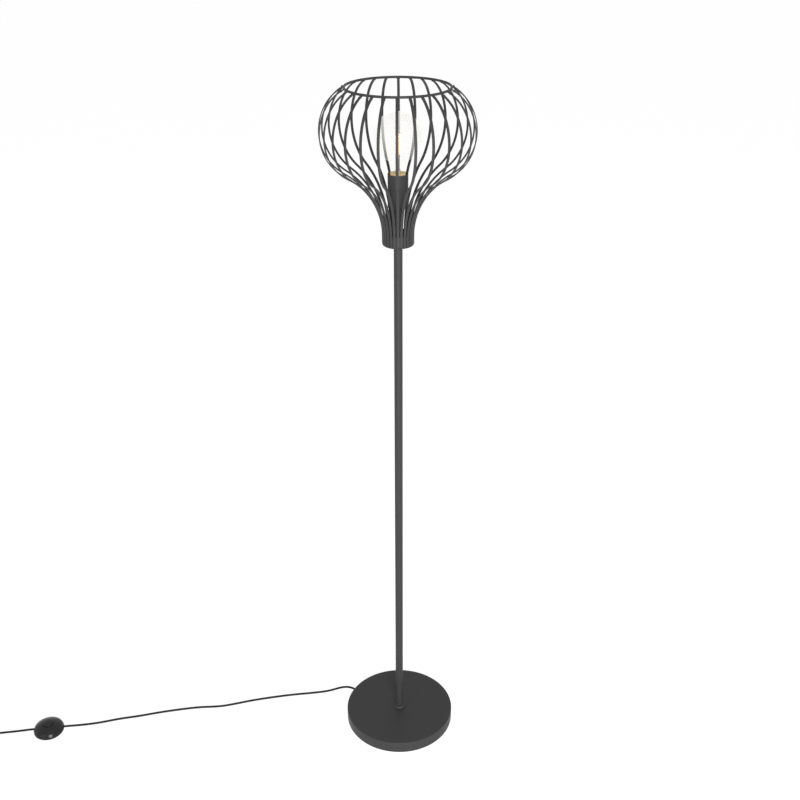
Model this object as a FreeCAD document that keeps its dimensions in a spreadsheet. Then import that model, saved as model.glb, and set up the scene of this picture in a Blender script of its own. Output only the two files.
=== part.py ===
"""Wire cage floor lamp: a round weighted base, a slim pole in two screwed
sections, a cage of flat strips bent round a neck cup and a top ring, a
lampholder with a clear globe bulb, and a mains lead with a foot switch.

Millimetres. The lamp's axis is Z and its pad rests on Z = 0.  Every size is
one cell of the sheet; the pieces follow those cells.
"""
import FreeCAD, Part
import math
import os
import Sketcher
from FreeCAD import Placement, Rotation, Vector

doc = FreeCAD.newDocument("cage_floor_lamp")

# ---------------------------------------------------------------- the sizes
SIZES = [
    # the base
    ("base_diameter", 257.0, "outside of the pressed cover"),
    ("base_height", 28.6, "top of the cover above the floor"),
    ("base_wall", 1.2, "sheet thickness of the cover"),
    ("base_edge_rounding", 1.6, "rounding of the cover's upper edge"),
    ("cover_lift", 0.6, "cover's lower rim above the floor"),
    ("pad_thickness", 1.5, "felt pad under the base"),
    ("pad_inset", 3.0, "pad's edge inside the cover's edge"),
    ("recess_diameter", 46.0, "hollow under the weight for the nut"),
    ("recess_height", 18.0, "depth of that hollow"),
    ("channel_diameter", 12.0, "radial channel for the lead"),
    # fixings, all on the same hollow thread
    ("nipple_diameter", 10.0, "hollow threaded rod, outside"),
    ("nipple_bore", 7.0, "hollow threaded rod, bore"),
    ("thread_clearance", 0.1, "radial gap round the threaded rods"),
    ("nipple_overhang", 1.0, "rod's end past the nut"),
    ("nut_flats", 14.0, "across the flats"),
    ("nut_height", 4.0, "hexagon"),
    ("nut_flange_diameter", 24.0, "flange under the hexagon"),
    ("nut_flange_height", 1.5, "flange thickness"),
    ("collar_diameter", 29.0, "rounded foot collar of the pole"),
    ("collar_height", 6.0, "foot collar"),
    ("collar_rounding", 3.8, "its rounded shoulder"),
    # the pole
    ("pole_diameter", 17.6, "outside of the tubes"),
    ("pole_wall", 1.3, "tube wall"),
    ("pole_lower_length", 594.4, "lower tube"),
    ("pole_upper_length", 594.5, "upper tube"),
    ("bush_length", 14.0, "threaded bush welded into each tube end"),
    ("bush_margin", 1.0, "thread left free at the end of a bush"),
    # the cage: heights are drops below the centre of the top ring
    ("cage_height", 302.2, "cup's underside to the centre of the top ring"),
    ("ring_radius", 99.5, "top ring, to the centre of its wire"),
    ("ring_wire", 4.8, "wire diameter of the top ring"),
    ("rib_count", 28, "strips round the cage"),
    ("rib_width", 5.3, "strip width"),
    ("rib_thickness", 2.0, "strip thickness"),
    ("rib_start_angle", 65.0, "degrees from straight down where a strip leaves the ring"),
    ("shoulder_radius", 81.0, "bend of a strip next to the ring"),
    ("belly_reach", 149.0, "strip's centre line at its widest"),
    ("belly_drop", 83.0, "where it is widest"),
    ("belly_radius", 91.5, "bend below the widest place"),
    ("neck_reach", 30.8, "strip's centre line at the neck"),
    ("neck_upright", 14.2, "strip's straight run down the cup"),
    ("foot_bend", 4.0, "strip's bend under the cup, centre line"),
    ("foot_reach", 2.0, "straight end of a strip under the cup"),
    ("cup_wall", 1.2, "neck cup"),
    ("cup_height", 22.5, "neck cup"),
    # the lampholder
    ("neck_tube_length", 72.3, "tube between the cup and the holder"),
    ("sleeve_diameter", 40.0, "holder's metal sleeve"),
    ("sleeve_wall", 0.9, "its sheet"),
    ("sleeve_height", 67.0, "its height"),
    ("sleeve_rounding", 1.8, "its lower edge"),
    ("holder_clearance", 0.15, "gap between sleeve and insert"),
    ("insert_drop", 4.5, "insert's rim below the sleeve's rim"),
    ("holder_thread", 11.0, "rod's reach into the insert"),
    ("socket_floor", 35.1, "floor of the socket above the sleeve's floor"),
    ("contact_height", 1.6, "centre contact on that floor"),
    ("contact_radius", 3.0, "centre contact"),
    ("shell_wall", 0.6, "metal thread shell"),
    ("shell_drop", 0.5, "shell's rim below the insert's rim"),
    ("screw_gap", 0.35, "radial gap between shell and cap"),
    ("rest_gap", 0.3, "gap between touching pieces that move"),
    # the bulb
    ("cap_diameter", 26.2, "cap over its thread"),
    ("cap_height", 26.0, "cap with its contact"),
    ("cap_wall", 0.8, "cap metal"),
    ("cap_taper", 5.0, "insulated foot of the cap"),
    ("cap_contact_radius", 4.5, "end contact"),
    ("globe_radius", 47.5, "clear globe"),
    ("glass_wall", 0.8, "glass thickness"),
    ("glass_neck_radius", 15.0, "glass where it turns into the cap"),
    ("glass_neck_length", 16.5, "straight glass neck above the cap"),
    ("glass_neck_bend", 14.0, "hollow bend between neck and globe"),
    ("glass_tail", 6.0, "glass inside the cap"),
    ("glass_fit", 0.1, "radial gap of the glass in the cap"),
    ("stem_flange", 1.4, "foot of the glass stem"),
    ("stem_cone_radius", 9.5, "stem at its foot"),
    ("stem_cone_height", 20.0, "cone of the stem"),
    ("stem_radius", 2.2, "rod of the stem"),
    ("filament_start", 41.0, "lower end of the filaments above the cap"),
    ("filament_length", 38.0, "one filament"),
    ("filament_radius", 0.85, "one filament"),
    ("filament_circle", 5.5, "filaments from the axis"),
    ("filament_count", 4, "filaments round the stem"),
    ("filament_plate", 0.8, "end plates that carry the filaments"),
    ("filament_margin", 0.5, "plate outside the filaments"),
    # the lead
    ("cord_diameter", 5.2, "round mains lead"),
    ("cord_clearance", 0.1, "radial gap where the lead passes through"),
    ("exit_azimuth", 145.0, "degrees round from +X where the lead leaves the base"),
    ("exit_height", 7.0, "lead's centre above the floor at the bushing"),
    ("bushing_flange", 5.5, "bushing, flange radius"),
    ("bushing_neck", 4.2, "bushing, radius through the wall"),
    ("bushing_flange_height", 1.8, "bushing, flange thickness"),
    ("bushing_nose", 5.2, "bushing, length of its tapered nose"),
    ("bushing_tip", 3.7, "bushing, radius at its tip"),
    ("bushing_seat", 0.2, "slack between inner flange and wall"),
    ("inner_bend", 9.0, "lead's bend under the threaded rod"),
    ("inner_height", 4.7, "lead's centre under the rod"),
    # the foot switch
    ("switch_east", -857.5, "centre of the switch"),
    ("switch_north", -61.0, "centre of the switch"),
    ("switch_turn", 8.0, "degrees that the switch is turned"),
    ("switch_radius", 36.0, "housing"),
    ("switch_height", 23.0, "top of the dome"),
    ("switch_skirt", 3.0, "where the side of the dome begins"),
    ("switch_foot_rise", 1.8, "height of the drawn-in bottom edge"),
    ("switch_side_bend", 14.0, "bend at the side of the dome"),
    ("switch_seam", 7.0, "seam and centre of the lead"),
    ("switch_wall", 2.0, "housing wall"),
    ("switch_floor", 2.5, "housing floor"),
    ("switch_foot_inset", 1.2, "bottom edge drawn in"),
    ("port_run", 6.0, "lead straight outside the housing"),
    ("block_length", 40.0, "contact block, along the lead"),
    ("block_width", 18.0, "contact block"),
    ("button_radius", 13.0, "push button"),
    ("button_gap", 0.35, "gap round the button"),
    ("button_rim", 24.2, "height of the button's edge"),
    ("button_crown", 1.6, "rise of its crown"),
    ("button_flange", 2.4, "flange outside the button's edge"),
    ("button_flange_height", 1.5, "flange thickness"),
    ("button_flange_top", 18.3, "height of the flange's upper face"),
    ("button_travel", 3.0, "stroke of the button"),
    # the spare lead, wound up for storage
    ("coil_heading", 188.5, "degrees, way of the lead where it enters the coil"),
    ("coil_start_radius", 37.2, "outer turn"),
    ("coil_halves_in", 5, "half turns of the lower layer, winding inwards"),
    ("coil_halves_out", 5, "half turns of the upper layer, winding outwards"),
    ("coil_gap", 0.6, "gap between turns"),
    ("coil_layer_gap", 0.6, "gap between the layers"),
    ("coil_climb", 0.12, "slope of the lead where it climbs a layer"),
    # the plug
    ("plug_width", 35.0, "flat two-pin plug, at the pins"),
    ("plug_back_width", 17.0, "at the lead"),
    ("plug_length", 34.0, "body"),
    ("plug_straight", 15.0, "part of the body that is full width"),
    ("plug_thickness", 13.6, "body"),
    ("plug_rounding", 3.0, "body edges"),
    ("boot_length", 26.0, "tapered boot"),
    ("boot_radius", 5.2, "boot at the body"),
    ("boot_tip_radius", 3.6, "boot at its tip"),
    ("boot_socket", 10.0, "lead's reach into the boot"),
    ("pin_radius", 2.0, "round pin"),
    ("pin_length", 19.0, "pin"),
    ("pin_root", 4.0, "pin's shank inside the body"),
    ("pin_shank_radius", 1.5, "that shank"),
    ("pin_spacing", 18.6, "between the pins"),
    ("pin_tip_rounding", 1.0, "pin tip"),
    ("plug_heading", 203.0, "degrees, way that the plug points"),
]

sheet = doc.addObject("Spreadsheet::Sheet", "Sizes")
for row, (alias, number, note) in enumerate(SIZES, start=1):
    sheet.set("A%d" % row, alias)
    sheet.set("B%d" % row, repr(number))
    sheet.set("C%d" % row, note)
    sheet.setAlias("B%d" % row, alias)
doc.recompute()


class Size:
    """A length with its value and the sheet expression that it follows."""

    def __init__(self, value, text):
        self.value = value
        self.text = text

    @staticmethod
    def of(thing):
        return thing if isinstance(thing, Size) else Size(float(thing), repr(float(thing)))

    def __add__(self, other):
        other = Size.of(other)
        return Size(self.value + other.value, "(%s + %s)" % (self.text, other.text))

    def __sub__(self, other):
        other = Size.of(other)
        return Size(self.value - other.value, "(%s - %s)" % (self.text, other.text))

    def __mul__(self, other):
        other = Size.of(other)
        return Size(self.value * other.value, "(%s * %s)" % (self.text, other.text))

    def __truediv__(self, other):
        other = Size.of(other)
        return Size(self.value / other.value, "(%s / %s)" % (self.text, other.text))

    __radd__ = __add__

    def __rmul__(self, other):
        return Size.of(other) * self

    def __rsub__(self, other):
        return Size.of(other) - self


class Cells:
    """The sheet's cells by name, as sizes."""

    def __getattr__(self, alias):
        return Size(float(sheet.get(alias)), "Sizes." + alias)


s = Cells()
ZERO = Size.of(0.0)


def v(alias):
    """The plain value of one cell."""
    return float(sheet.get(alias))


def bind(obj, prop, size):
    """Set a property and tie it to the sheet."""
    size = Size.of(size)
    if "." not in prop:
        setattr(obj, prop, size.value)
    obj.setExpression(prop, size.text)


def at_height(obj, size):
    obj.Placement = Placement(Vector(0, 0, size.value), Rotation())
    obj.setExpression("Placement.Base.z", size.text)


def labelled(obj, name):
    obj.Label = name
    return obj


# ------------------------------------------------------------ tools for pieces
def outline_sketch(body, name, points):
    """A closed outline on the body's XZ plane, each corner held by the sheet."""
    sketch = body.newObject("Sketcher::SketchObject", name + "_outline")
    plane = [f for f in body.Origin.OriginFeatures if f.Role == "XZ_Plane"][0]
    sketch.AttachmentSupport = [(plane, "")]
    sketch.MapMode = "FlatFace"
    corners = [(Size.of(a), Size.of(b)) for a, b in points]
    count = len(corners)
    for i in range(count):
        a, b = corners[i], corners[(i + 1) % count]
        sketch.addGeometry(Part.LineSegment(Vector(a[0].value, a[1].value, 0),
                                            Vector(b[0].value, b[1].value, 0)), False)
    for i in range(count):
        sketch.addConstraint(Sketcher.Constraint("Coincident", i, 2, (i + 1) % count, 1))
    for i, (a, b) in enumerate(corners):
        if abs(a.value) < 1e-9:
            sketch.addConstraint(Sketcher.Constraint("PointOnObject", i, 1, -2))
        else:
            n = sketch.addConstraint(Sketcher.Constraint("DistanceX", -1, 1, i, 1, a.value))
            sketch.setExpression("Constraints[%d]" % n, a.text)
        if abs(b.value) < 1e-9:
            sketch.addConstraint(Sketcher.Constraint("PointOnObject", i, 1, -1))
        else:
            n = sketch.addConstraint(Sketcher.Constraint("DistanceY", -1, 1, i, 1, b.value))
            sketch.setExpression("Constraints[%d]" % n, b.text)
    return sketch


def turned(name, points):
    """A turned piece: the outline is (radius, height) corners."""
    body = labelled(doc.addObject("PartDesign::Body", name), name)
    sketch = outline_sketch(body, name, points)
    turn = body.newObject("PartDesign::Revolution", name + "_turn")
    turn.Profile = sketch
    turn.ReferenceAxis = (sketch, ["V_Axis"])
    turn.Angle = 360.0
    doc.recompute()
    return body


def round_edges(body, places, size):
    """Round the circular edges of a turned body at (radius, height) places."""
    base = body.Tip
    names = []
    for n, edge in enumerate(base.Shape.Edges, start=1):
        if not isinstance(edge.Curve, Part.Circle):
            continue
        for radius, height in places:
            if (abs(edge.Curve.Radius - Size.of(radius).value) < 1e-4
                    and abs(edge.Curve.Center.z - Size.of(height).value) < 1e-4):
                names.append("Edge%d" % n)
    if len(names) != len(places):
        raise RuntimeError("%s: edges to round not found" % body.Name)
    rounding = body.newObject("PartDesign::Fillet", body.Name + "_rounding")
    rounding.Base = (base, names)
    bind(rounding, "Radius", size)
    doc.recompute()
    return body


def cylinder(name, radius, height, bottom):
    obj = doc.addObject("Part::Cylinder", name)
    bind(obj, "Radius", radius)
    bind(obj, "Height", height)
    at_height(obj, Size.of(bottom))
    return obj


def cut(name, base, tool):
    obj = labelled(doc.addObject("Part::Cut", name), name)
    obj.Base = base
    obj.Tool = tool
    doc.recompute()
    return obj


def fused(name, *pieces):
    obj = labelled(doc.addObject("Part::MultiFuse", name), name)
    obj.Shapes = list(pieces)
    doc.recompute()
    return obj


def feature(name, shape, placement=None):
    obj = labelled(doc.addObject("Part::Feature", name), name)
    obj.Shape = shape
    if placement is not None:
        obj.Placement = placement
    return obj


def face_of(edges):
    return Part.Face(Part.Wire(Part.__sortEdges__(edges)))


def arc(centre, radius, start, end):
    """An arc in the XZ plane, angles in radians from +X."""
    def spot(angle):
        return Vector(centre[0] + radius * math.cos(angle), 0, centre[1] + radius * math.sin(angle))
    return Part.Arc(spot(start), spot(0.5 * (start + end)), spot(end)).toShape()


def line(a, b):
    return Part.LineSegment(Vector(a[0], 0, a[1]), Vector(b[0], 0, b[1])).toShape()


def revolved(edges):
    return face_of(edges).revolve(Vector(0, 0, 0), Vector(0, 0, 1), 360)


nodes = {}


def keep(name, obj):
    nodes[name] = obj
    return obj


# ------------------------------------------------------------------- the base
base_radius = s.base_diameter / 2
cover_inside = base_radius - s.base_wall
cover_ceiling = s.base_height - s.base_wall
rod_radius = s.nipple_diameter / 2
rod_hole = rod_radius + s.thread_clearance
azimuth = math.radians(v("exit_azimuth"))
outward = Vector(math.cos(azimuth), math.sin(azimuth), 0)
to_exit = Rotation(Vector(0, 0, 1), outward)

keep("base_pad", labelled(cylinder("base_pad", base_radius - s.pad_inset, s.pad_thickness, ZERO), "base_pad"))


def radial_hole(name, radius):
    """A round hole from the axis outwards, level with the lead's exit."""
    tool = doc.addObject("Part::Cylinder", name)
    bind(tool, "Radius", radius)
    bind(tool, "Height", s.base_diameter)
    tool.Placement = Placement(Vector(0, 0, v("exit_height")), to_exit)
    tool.setExpression("Placement.Base.z", "Sizes.exit_height")
    return tool


cover = turned("cover_blank", [
    (rod_hole, cover_ceiling), (cover_inside, cover_ceiling), (cover_inside, s.cover_lift),
    (base_radius, s.cover_lift), (base_radius, s.base_height), (rod_hole, s.base_height)])
round_edges(cover, [(base_radius, s.base_height)], s.base_edge_rounding)
keep("base_shell", cut("base_shell", cover,
                       radial_hole("cover_hole", s.bushing_neck + s.cord_clearance)))

recess_top = s.pad_thickness + s.recess_height
weight = turned("weight_blank", [
    (s.recess_diameter / 2, s.pad_thickness), (cover_inside, s.pad_thickness),
    (cover_inside, cover_ceiling), (rod_hole, cover_ceiling),
    (rod_hole, recess_top), (s.recess_diameter / 2, recess_top)])
keep("base_weight", cut("base_weight", weight, radial_hole("weight_channel", s.channel_diameter / 2)))

nut_bottom = recess_top - s.nut_flange_height - s.nut_height
hexagon = doc.addObject("Part::Prism", "nut_hexagon")
hexagon.Polygon = 6
bind(hexagon, "Circumradius", s.nut_flats / Size(math.sqrt(3.0), "sqrt(3)"))
bind(hexagon, "Height", s.nut_height)
at_height(hexagon, nut_bottom)
flange = cylinder("nut_flange", s.nut_flange_diameter / 2, s.nut_flange_height,
                  recess_top - s.nut_flange_height)
keep("base_nut", cut("base_nut", fused("nut_blank", hexagon, flange),
                     cylinder("nut_bore", rod_hole, s.recess_height, s.pad_thickness)))

collar_top = s.base_height + s.collar_height
rod_bottom = nut_bottom - s.nipple_overhang


def hollow_rod(name, bottom, top):
    return keep(name, turned(name, [
        (s.nipple_bore / 2, bottom), (rod_radius, bottom), (rod_radius, top), (s.nipple_bore / 2, top)]))


hollow_rod("foot_rod", rod_bottom, collar_top + s.bush_length - s.bush_margin)

collar = turned("foot_collar", [
    (rod_hole, s.base_height), (s.collar_diameter / 2, s.base_height),
    (s.collar_diameter / 2, collar_top), (rod_hole, collar_top)])
keep("foot_collar", round_edges(collar, [(s.collar_diameter / 2, collar_top)], s.collar_rounding))

# ------------------------------------------------------------------- the pole
pole_radius = s.pole_diameter / 2
joint_height = collar_top + s.pole_lower_length
cup_bottom = joint_height + s.pole_upper_length


def pole_tube(name, bottom, top):
    """A tube with a threaded bush welded into each end."""
    inside = pole_radius - s.pole_wall
    return keep(name, turned(name, [
        (rod_hole, bottom), (pole_radius, bottom), (pole_radius, top), (rod_hole, top),
        (rod_hole, top - s.bush_length), (inside, top - s.bush_length),
        (inside, bottom + s.bush_length), (rod_hole, bottom + s.bush_length)]))


pole_tube("pole_lower", collar_top, joint_height)
pole_tube("pole_upper", joint_height, cup_bottom)
reach = s.bush_length - s.bush_margin
hollow_rod("pole_coupler", joint_height - reach, joint_height + reach)

# ------------------------------------------------------------------- the cage
ring_height = cup_bottom + s.cage_height
ring = labelled(doc.addObject("Part::Torus", "cage_ring"), "cage_ring")
bind(ring, "Radius1", s.ring_radius)
bind(ring, "Radius2", s.ring_wire / 2)
at_height(ring, ring_height)
keep("cage_ring", ring)
doc.recompute()

cup_outside = s.neck_reach - s.rib_thickness / 2
cup_corner = s.foot_bend - s.rib_thickness / 2
cup_top = cup_bottom + s.cup_height
cup = turned("cage_cup", [
    (rod_hole, cup_bottom), (cup_outside, cup_bottom), (cup_outside, cup_top),
    (cup_outside - s.cup_wall, cup_top), (cup_outside - s.cup_wall, cup_bottom + s.cup_wall),
    (rod_hole, cup_bottom + s.cup_wall)])
round_edges(cup, [(cup_outside, cup_bottom)], cup_corner)
round_edges(cup, [(cup_outside - s.cup_wall, cup_bottom + s.cup_wall)], cup_corner - s.cup_wall)
keep("cage_cup", cup)


def rib_line():
    """Centre line of one strip: (start heading, [(turn, radius or length)]).

    Headings are measured from straight down, outwards positive.  From the
    ring a strip bends twice to its widest place, then in a long S to the
    neck, runs straight down the cup and turns in under it.
    """
    start = math.radians(v("rib_start_angle"))
    first = v("shoulder_radius")
    straight = v("neck_upright")
    neck_drop = v("cage_height") - straight - v("foot_bend") + v("rib_thickness") / 2
    # two arcs that meet tangentially, from the ring to the widest place
    across = v("belly_reach") - v("ring_radius") + first * math.cos(start)
    down = v("belly_drop") - first * math.sin(start)
    second = (across ** 2 + down ** 2 - first ** 2) / (2 * (across - first))
    middle = math.atan2(down / (second - first), (second - across) / (second - first))
    # the S: two arcs with upright ends
    width = v("belly_reach") - v("neck_reach")
    drop = neck_drop - v("belly_drop")
    swing = 2 * math.atan2(width, drop)
    upper = v("belly_radius")
    lower = drop / math.sin(swing) - upper
    print("strip: bends %.1f, %.1f, %.1f, %.1f mm; joins at %.1f degrees, swing %.1f; upright %.1f mm"
          % (first, second, upper, lower, math.degrees(middle), math.degrees(swing), straight))
    return start, [("arc", middle - start, first), ("arc", -middle, second),
                   ("arc", -swing, upper), ("arc", swing, lower),
                   ("line", straight, None),
                   ("arc", -math.pi / 2, v("foot_bend")), ("line", v("foot_reach"), None)]


def rib_face():
    """The strip's section along its own plane, drawn at azimuth zero."""
    half = v("rib_thickness") / 2
    heading, steps = rib_line()
    x, z = v("ring_radius"), ring_height.value
    outer, inner = [], []

    def sides(x, z, heading):
        # the outward normal of a strip that runs down with this heading
        nx, nz = math.cos(heading), math.sin(heading)
        return (x + half * nx, z + half * nz), (x - half * nx, z - half * nz)

    start_pair = sides(x, z, heading)
    last = start_pair
    for kind, amount, radius in steps:
        if kind == "line":
            x += amount * math.sin(heading)
            z -= amount * math.cos(heading)
            pair = sides(x, z, heading)
            outer.append(line(last[0], pair[0]))
            inner.append(line(last[1], pair[1]))
        else:
            sign = 1.0 if amount > 0 else -1.0
            mid = heading + amount / 2
            end = heading + amount
            # centre of the bend lies across the strip
            cx = x + sign * radius * math.cos(heading)
            cz = z + sign * radius * math.sin(heading)

            def spot(angle):
                return cx - sign * radius * math.cos(angle), cz - sign * radius * math.sin(angle)
            middle = sides(*spot(mid), mid)
            x, z = spot(end)
            pair = sides(x, z, end)
            for side, store in ((0, outer), (1, inner)):
                store.append(Part.Arc(Vector(last[side][0], 0, last[side][1]),
                                      Vector(middle[side][0], 0, middle[side][1]),
                                      Vector(pair[side][0], 0, pair[side][1])).toShape())
            heading = end
        last = pair
    return face_of(outer + inner + [line(start_pair[0], start_pair[1]), line(last[0], last[1])])


rib_plan = feature("rib_plan", rib_face())
strip = doc.addObject("Part::Extrusion", "rib_strip")
strip.Base = rib_plan
strip.DirMode = "Custom"
strip.Dir = Vector(0, 1, 0)
strip.Solid = True
strip.Symmetric = True
bind(strip, "LengthFwd", s.rib_width)
doc.recompute()
coped = cut("rib_coped", strip, ring)

rib_count = int(round(v("rib_count")))
for number in range(rib_count):
    name = "rib_%02d" % (number + 1)
    # the first strip stands at the front, towards -Y
    turn = -90.0 + 360.0 * number / rib_count
    keep(name, feature(name, coped.Shape.copy(), Placement(Vector(0, 0, 0), Rotation(Vector(0, 0, 1), turn))))

# -------------------------------------------------------------- the lampholder
sleeve_bottom = cup_bottom + s.cup_wall + s.neck_tube_length
sleeve_radius = s.sleeve_diameter / 2
sleeve_inside = sleeve_radius - s.sleeve_wall
sleeve_floor = sleeve_bottom + s.sleeve_wall
sleeve_top = sleeve_bottom + s.sleeve_height
pole_tube("neck_tube", cup_bottom + s.cup_wall, sleeve_bottom)
rod_top = sleeve_floor + s.holder_thread
hollow_rod("holder_rod", cup_bottom - reach, rod_top)

sleeve = turned("holder_sleeve", [
    (rod_hole, sleeve_bottom), (sleeve_radius, sleeve_bottom), (sleeve_radius, sleeve_top),
    (sleeve_inside, sleeve_top), (sleeve_inside, sleeve_floor), (rod_hole, sleeve_floor)])
round_edges(sleeve, [(sleeve_radius, sleeve_bottom)], s.sleeve_rounding)
round_edges(sleeve, [(sleeve_inside, sleeve_floor)], s.sleeve_rounding - s.sleeve_wall)
keep("holder_sleeve", sleeve)

cap_radius = s.cap_diameter / 2
shell_inside = cap_radius + s.screw_gap
shell_outside = shell_inside + s.shell_wall
insert_outside = sleeve_inside - s.holder_clearance
insert_top = sleeve_top - s.insert_drop
socket_floor = sleeve_floor + s.socket_floor
contact_top = socket_floor + s.contact_height
relief = s.sleeve_rounding - s.sleeve_wall
insert = turned("holder_insert", [
    (rod_hole, sleeve_floor), (insert_outside - relief, sleeve_floor), (insert_outside, sleeve_floor + relief),
    (insert_outside, insert_top), (shell_outside, insert_top), (shell_outside, socket_floor),
    (s.contact_radius, socket_floor), (s.contact_radius, contact_top), (ZERO, contact_top),
    (ZERO, rod_top), (rod_hole, rod_top)])
keep("holder_insert", insert)
keep("holder_shell", turned("holder_shell", [
    (shell_inside, socket_floor), (shell_outside, socket_floor),
    (shell_outside, insert_top - s.shell_drop), (shell_inside, insert_top - s.shell_drop)]))

# -------------------------------------------------------------------- the bulb
cap_bottom = contact_top + s.rest_gap
cap_top = cap_bottom + s.cap_height
cap_inside = cap_radius - s.cap_wall
cap_shoulder = cap_bottom + s.cap_taper + s.cap_wall
cap_floor = cap_shoulder + s.cap_wall
keep("bulb_cap", turned("bulb_cap", [
    (ZERO, cap_bottom), (s.cap_contact_radius, cap_bottom), (cap_inside, cap_shoulder - s.cap_wall),
    (cap_radius, cap_shoulder), (cap_radius, cap_top), (cap_inside, cap_top), (cap_inside, cap_floor),
    (ZERO, cap_floor)]))


def bulb_glass_shape():
    """The blown glass, as a wall between two outlines."""
    wall = v("glass_wall")
    top = cap_top.value
    ball = v("globe_radius")
    neck = v("glass_neck_radius")
    hollow = v("glass_neck_bend")
    tail = (cap_inside - s.glass_fit).value
    lip = cap_radius.value
    corner = neck - lip
    neck_height = top + corner
    neck_top = neck_height + v("glass_neck_length")
    rise = math.sqrt((ball + hollow) ** 2 - (neck + hollow) ** 2)
    globe = (0.0, neck_top + rise)
    bend = (neck + hollow, neck_top)
    lean = math.atan2(bend[1] - globe[1], bend[0] - globe[0])
    up = math.pi / 2
    edges = [arc(globe, ball, up, lean), arc(bend, hollow, math.pi + lean, math.pi),
             line((neck, neck_top), (neck, neck_height)), arc((lip, neck_height), corner, 0.0, -up),
             line((lip, top), (tail, top)), line((tail, top), (tail, top - v("glass_tail"))),
             line((tail, top - v("glass_tail")), (tail - wall, top - v("glass_tail"))),
             line((tail - wall, top - v("glass_tail")), (tail - wall, top + wall)),
             line((tail - wall, top + wall), (lip, top + wall)),
             arc((lip, neck_height), corner - wall, -up, 0.0),
             line((neck - wall, neck_height), (neck - wall, neck_top)),
             arc(bend, hollow + wall, math.pi, math.pi + lean),
             arc(globe, ball - wall, lean, up),
             line((0.0, globe[1] + ball - wall), (0.0, globe[1] + ball))]
    print("globe centre %.1f, top %.1f mm; neck %.1f mm" % (globe[1], globe[1] + ball, neck_height))
    return revolved(edges)


keep("bulb_glass", feature("bulb_glass", bulb_glass_shape()))

stem_bottom = cap_top - s.glass_tail - s.stem_flange - s.rest_gap
filament_bottom = cap_top + s.filament_start
filament_top = filament_bottom + s.filament_length
stem_cone_foot = stem_bottom + s.stem_flange
keep("bulb_stem", turned("bulb_stem", [
    (ZERO, stem_bottom), (cap_inside - s.glass_fit, stem_bottom), (cap_inside - s.glass_fit, stem_cone_foot),
    (s.stem_cone_radius, stem_cone_foot), (s.stem_radius, stem_cone_foot + s.stem_cone_height),
    (s.stem_radius, filament_top + s.filament_plate), (ZERO, filament_top + s.filament_plate)]))


def plate(name, bottom):
    """A round end plate on the stem, which holds the filaments' ends."""
    reach = s.filament_circle + s.filament_radius + s.filament_margin
    return turned(name, [
        (s.stem_radius, bottom), (reach, bottom),
        (reach, bottom + s.filament_plate), (s.stem_radius, bottom + s.filament_plate)])


rods = []
filament_count = int(round(v("filament_count")))
for number in range(filament_count):
    turn = 360.0 * (number + 0.5) / filament_count
    rod = cylinder("filament_%d" % number, s.filament_radius, s.filament_length, filament_bottom)
    rod.setExpression("Placement.Base.x", "Sizes.filament_circle * cos(%g)" % turn)
    rod.setExpression("Placement.Base.y", "Sizes.filament_circle * sin(%g)" % turn)
    rods.append(rod)
keep("bulb_filament", fused("bulb_filament", plate("filament_foot", filament_bottom - s.filament_plate),
                            plate("filament_head", filament_top), *rods))

# ---------------------------------------------------------- the lead's bushing
wall_face = base_radius
nose_start = wall_face + s.bushing_flange_height
nose_tip = nose_start + s.bushing_nose
inner_face = cover_inside - s.bushing_seat
cord_radius = s.cord_diameter / 2
cord_hole = cord_radius + s.cord_clearance
bushing = turned("cord_bushing", [
    (cord_hole, inner_face - s.bushing_flange_height), (s.bushing_flange, inner_face - s.bushing_flange_height),
    (s.bushing_flange, inner_face), (s.bushing_neck, inner_face), (s.bushing_neck, wall_face),
    (s.bushing_flange, wall_face), (s.bushing_flange, nose_start), (s.bushing_neck, nose_start),
    (s.bushing_tip, nose_tip), (cord_hole, nose_tip)])
bushing.Placement = Placement(Vector(0, 0, v("exit_height")), to_exit)
bushing.setExpression("Placement.Base.z", "Sizes.exit_height")
keep("cord_bushing", bushing)


# --------------------------------------------------------------- tubes of lead
def unit(vector):
    return Vector(vector).normalize()


def tangent_path(points, label, tight=None):
    """Straight runs joined by tangent arcs, each as large as its runs allow.

    tight gives the radius at single points where the lamp leaves less room.
    """
    points = [Vector(p) for p in points]
    edges, at, radii = [], points[0], []
    for i in range(1, len(points) - 1):
        before, after = points[i] - points[i - 1], points[i + 1] - points[i]
        short = min(before.Length, after.Length)
        turn = before.getAngle(after)
        radius = 0.45 * short / math.tan(turn / 2)
        radius = (tight or {}).get(i, radius)
        back = radius * math.tan(turn / 2)
        begin = points[i] - unit(before) * back
        finish = points[i] + unit(after) * back
        towards = unit(unit(after) - unit(before))
        middle = points[i] + towards * (radius / math.cos(turn / 2) - radius)
        if (begin - at).Length > 1e-6:
            edges.append(Part.LineSegment(at, begin).toShape())
        edges.append(Part.Arc(begin, middle, finish).toShape())
        at = finish
        radii.append(radius)
    edges.append(Part.LineSegment(at, points[-1]).toShape())
    path = Part.Wire(edges)
    print("%s: length %.1f mm; bend radii %s" % (label, path.Length, " ".join("%.0f" % r for r in radii)))
    return path


def tube_along(path, radius):
    first = path.Edges[0]
    start = path.OrderedVertexes[0].Point
    heading = first.tangentAt(first.FirstParameter)
    if (first.valueAt(first.FirstParameter) - start).Length > 1e-6:
        heading = heading * -1
    ring_wire = Part.Wire(Part.Circle(start, heading, radius).toShape())
    solid = path.makePipeShell([ring_wire], True, False)
    wanted = math.pi * radius ** 2 * path.Length
    print("   volume %.1f of %.1f mm3" % (solid.Volume, wanted))
    if abs(solid.Volume / wanted - 1) > 0.01:
        raise RuntimeError("a tube of the lead has the wrong volume")
    return solid


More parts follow.
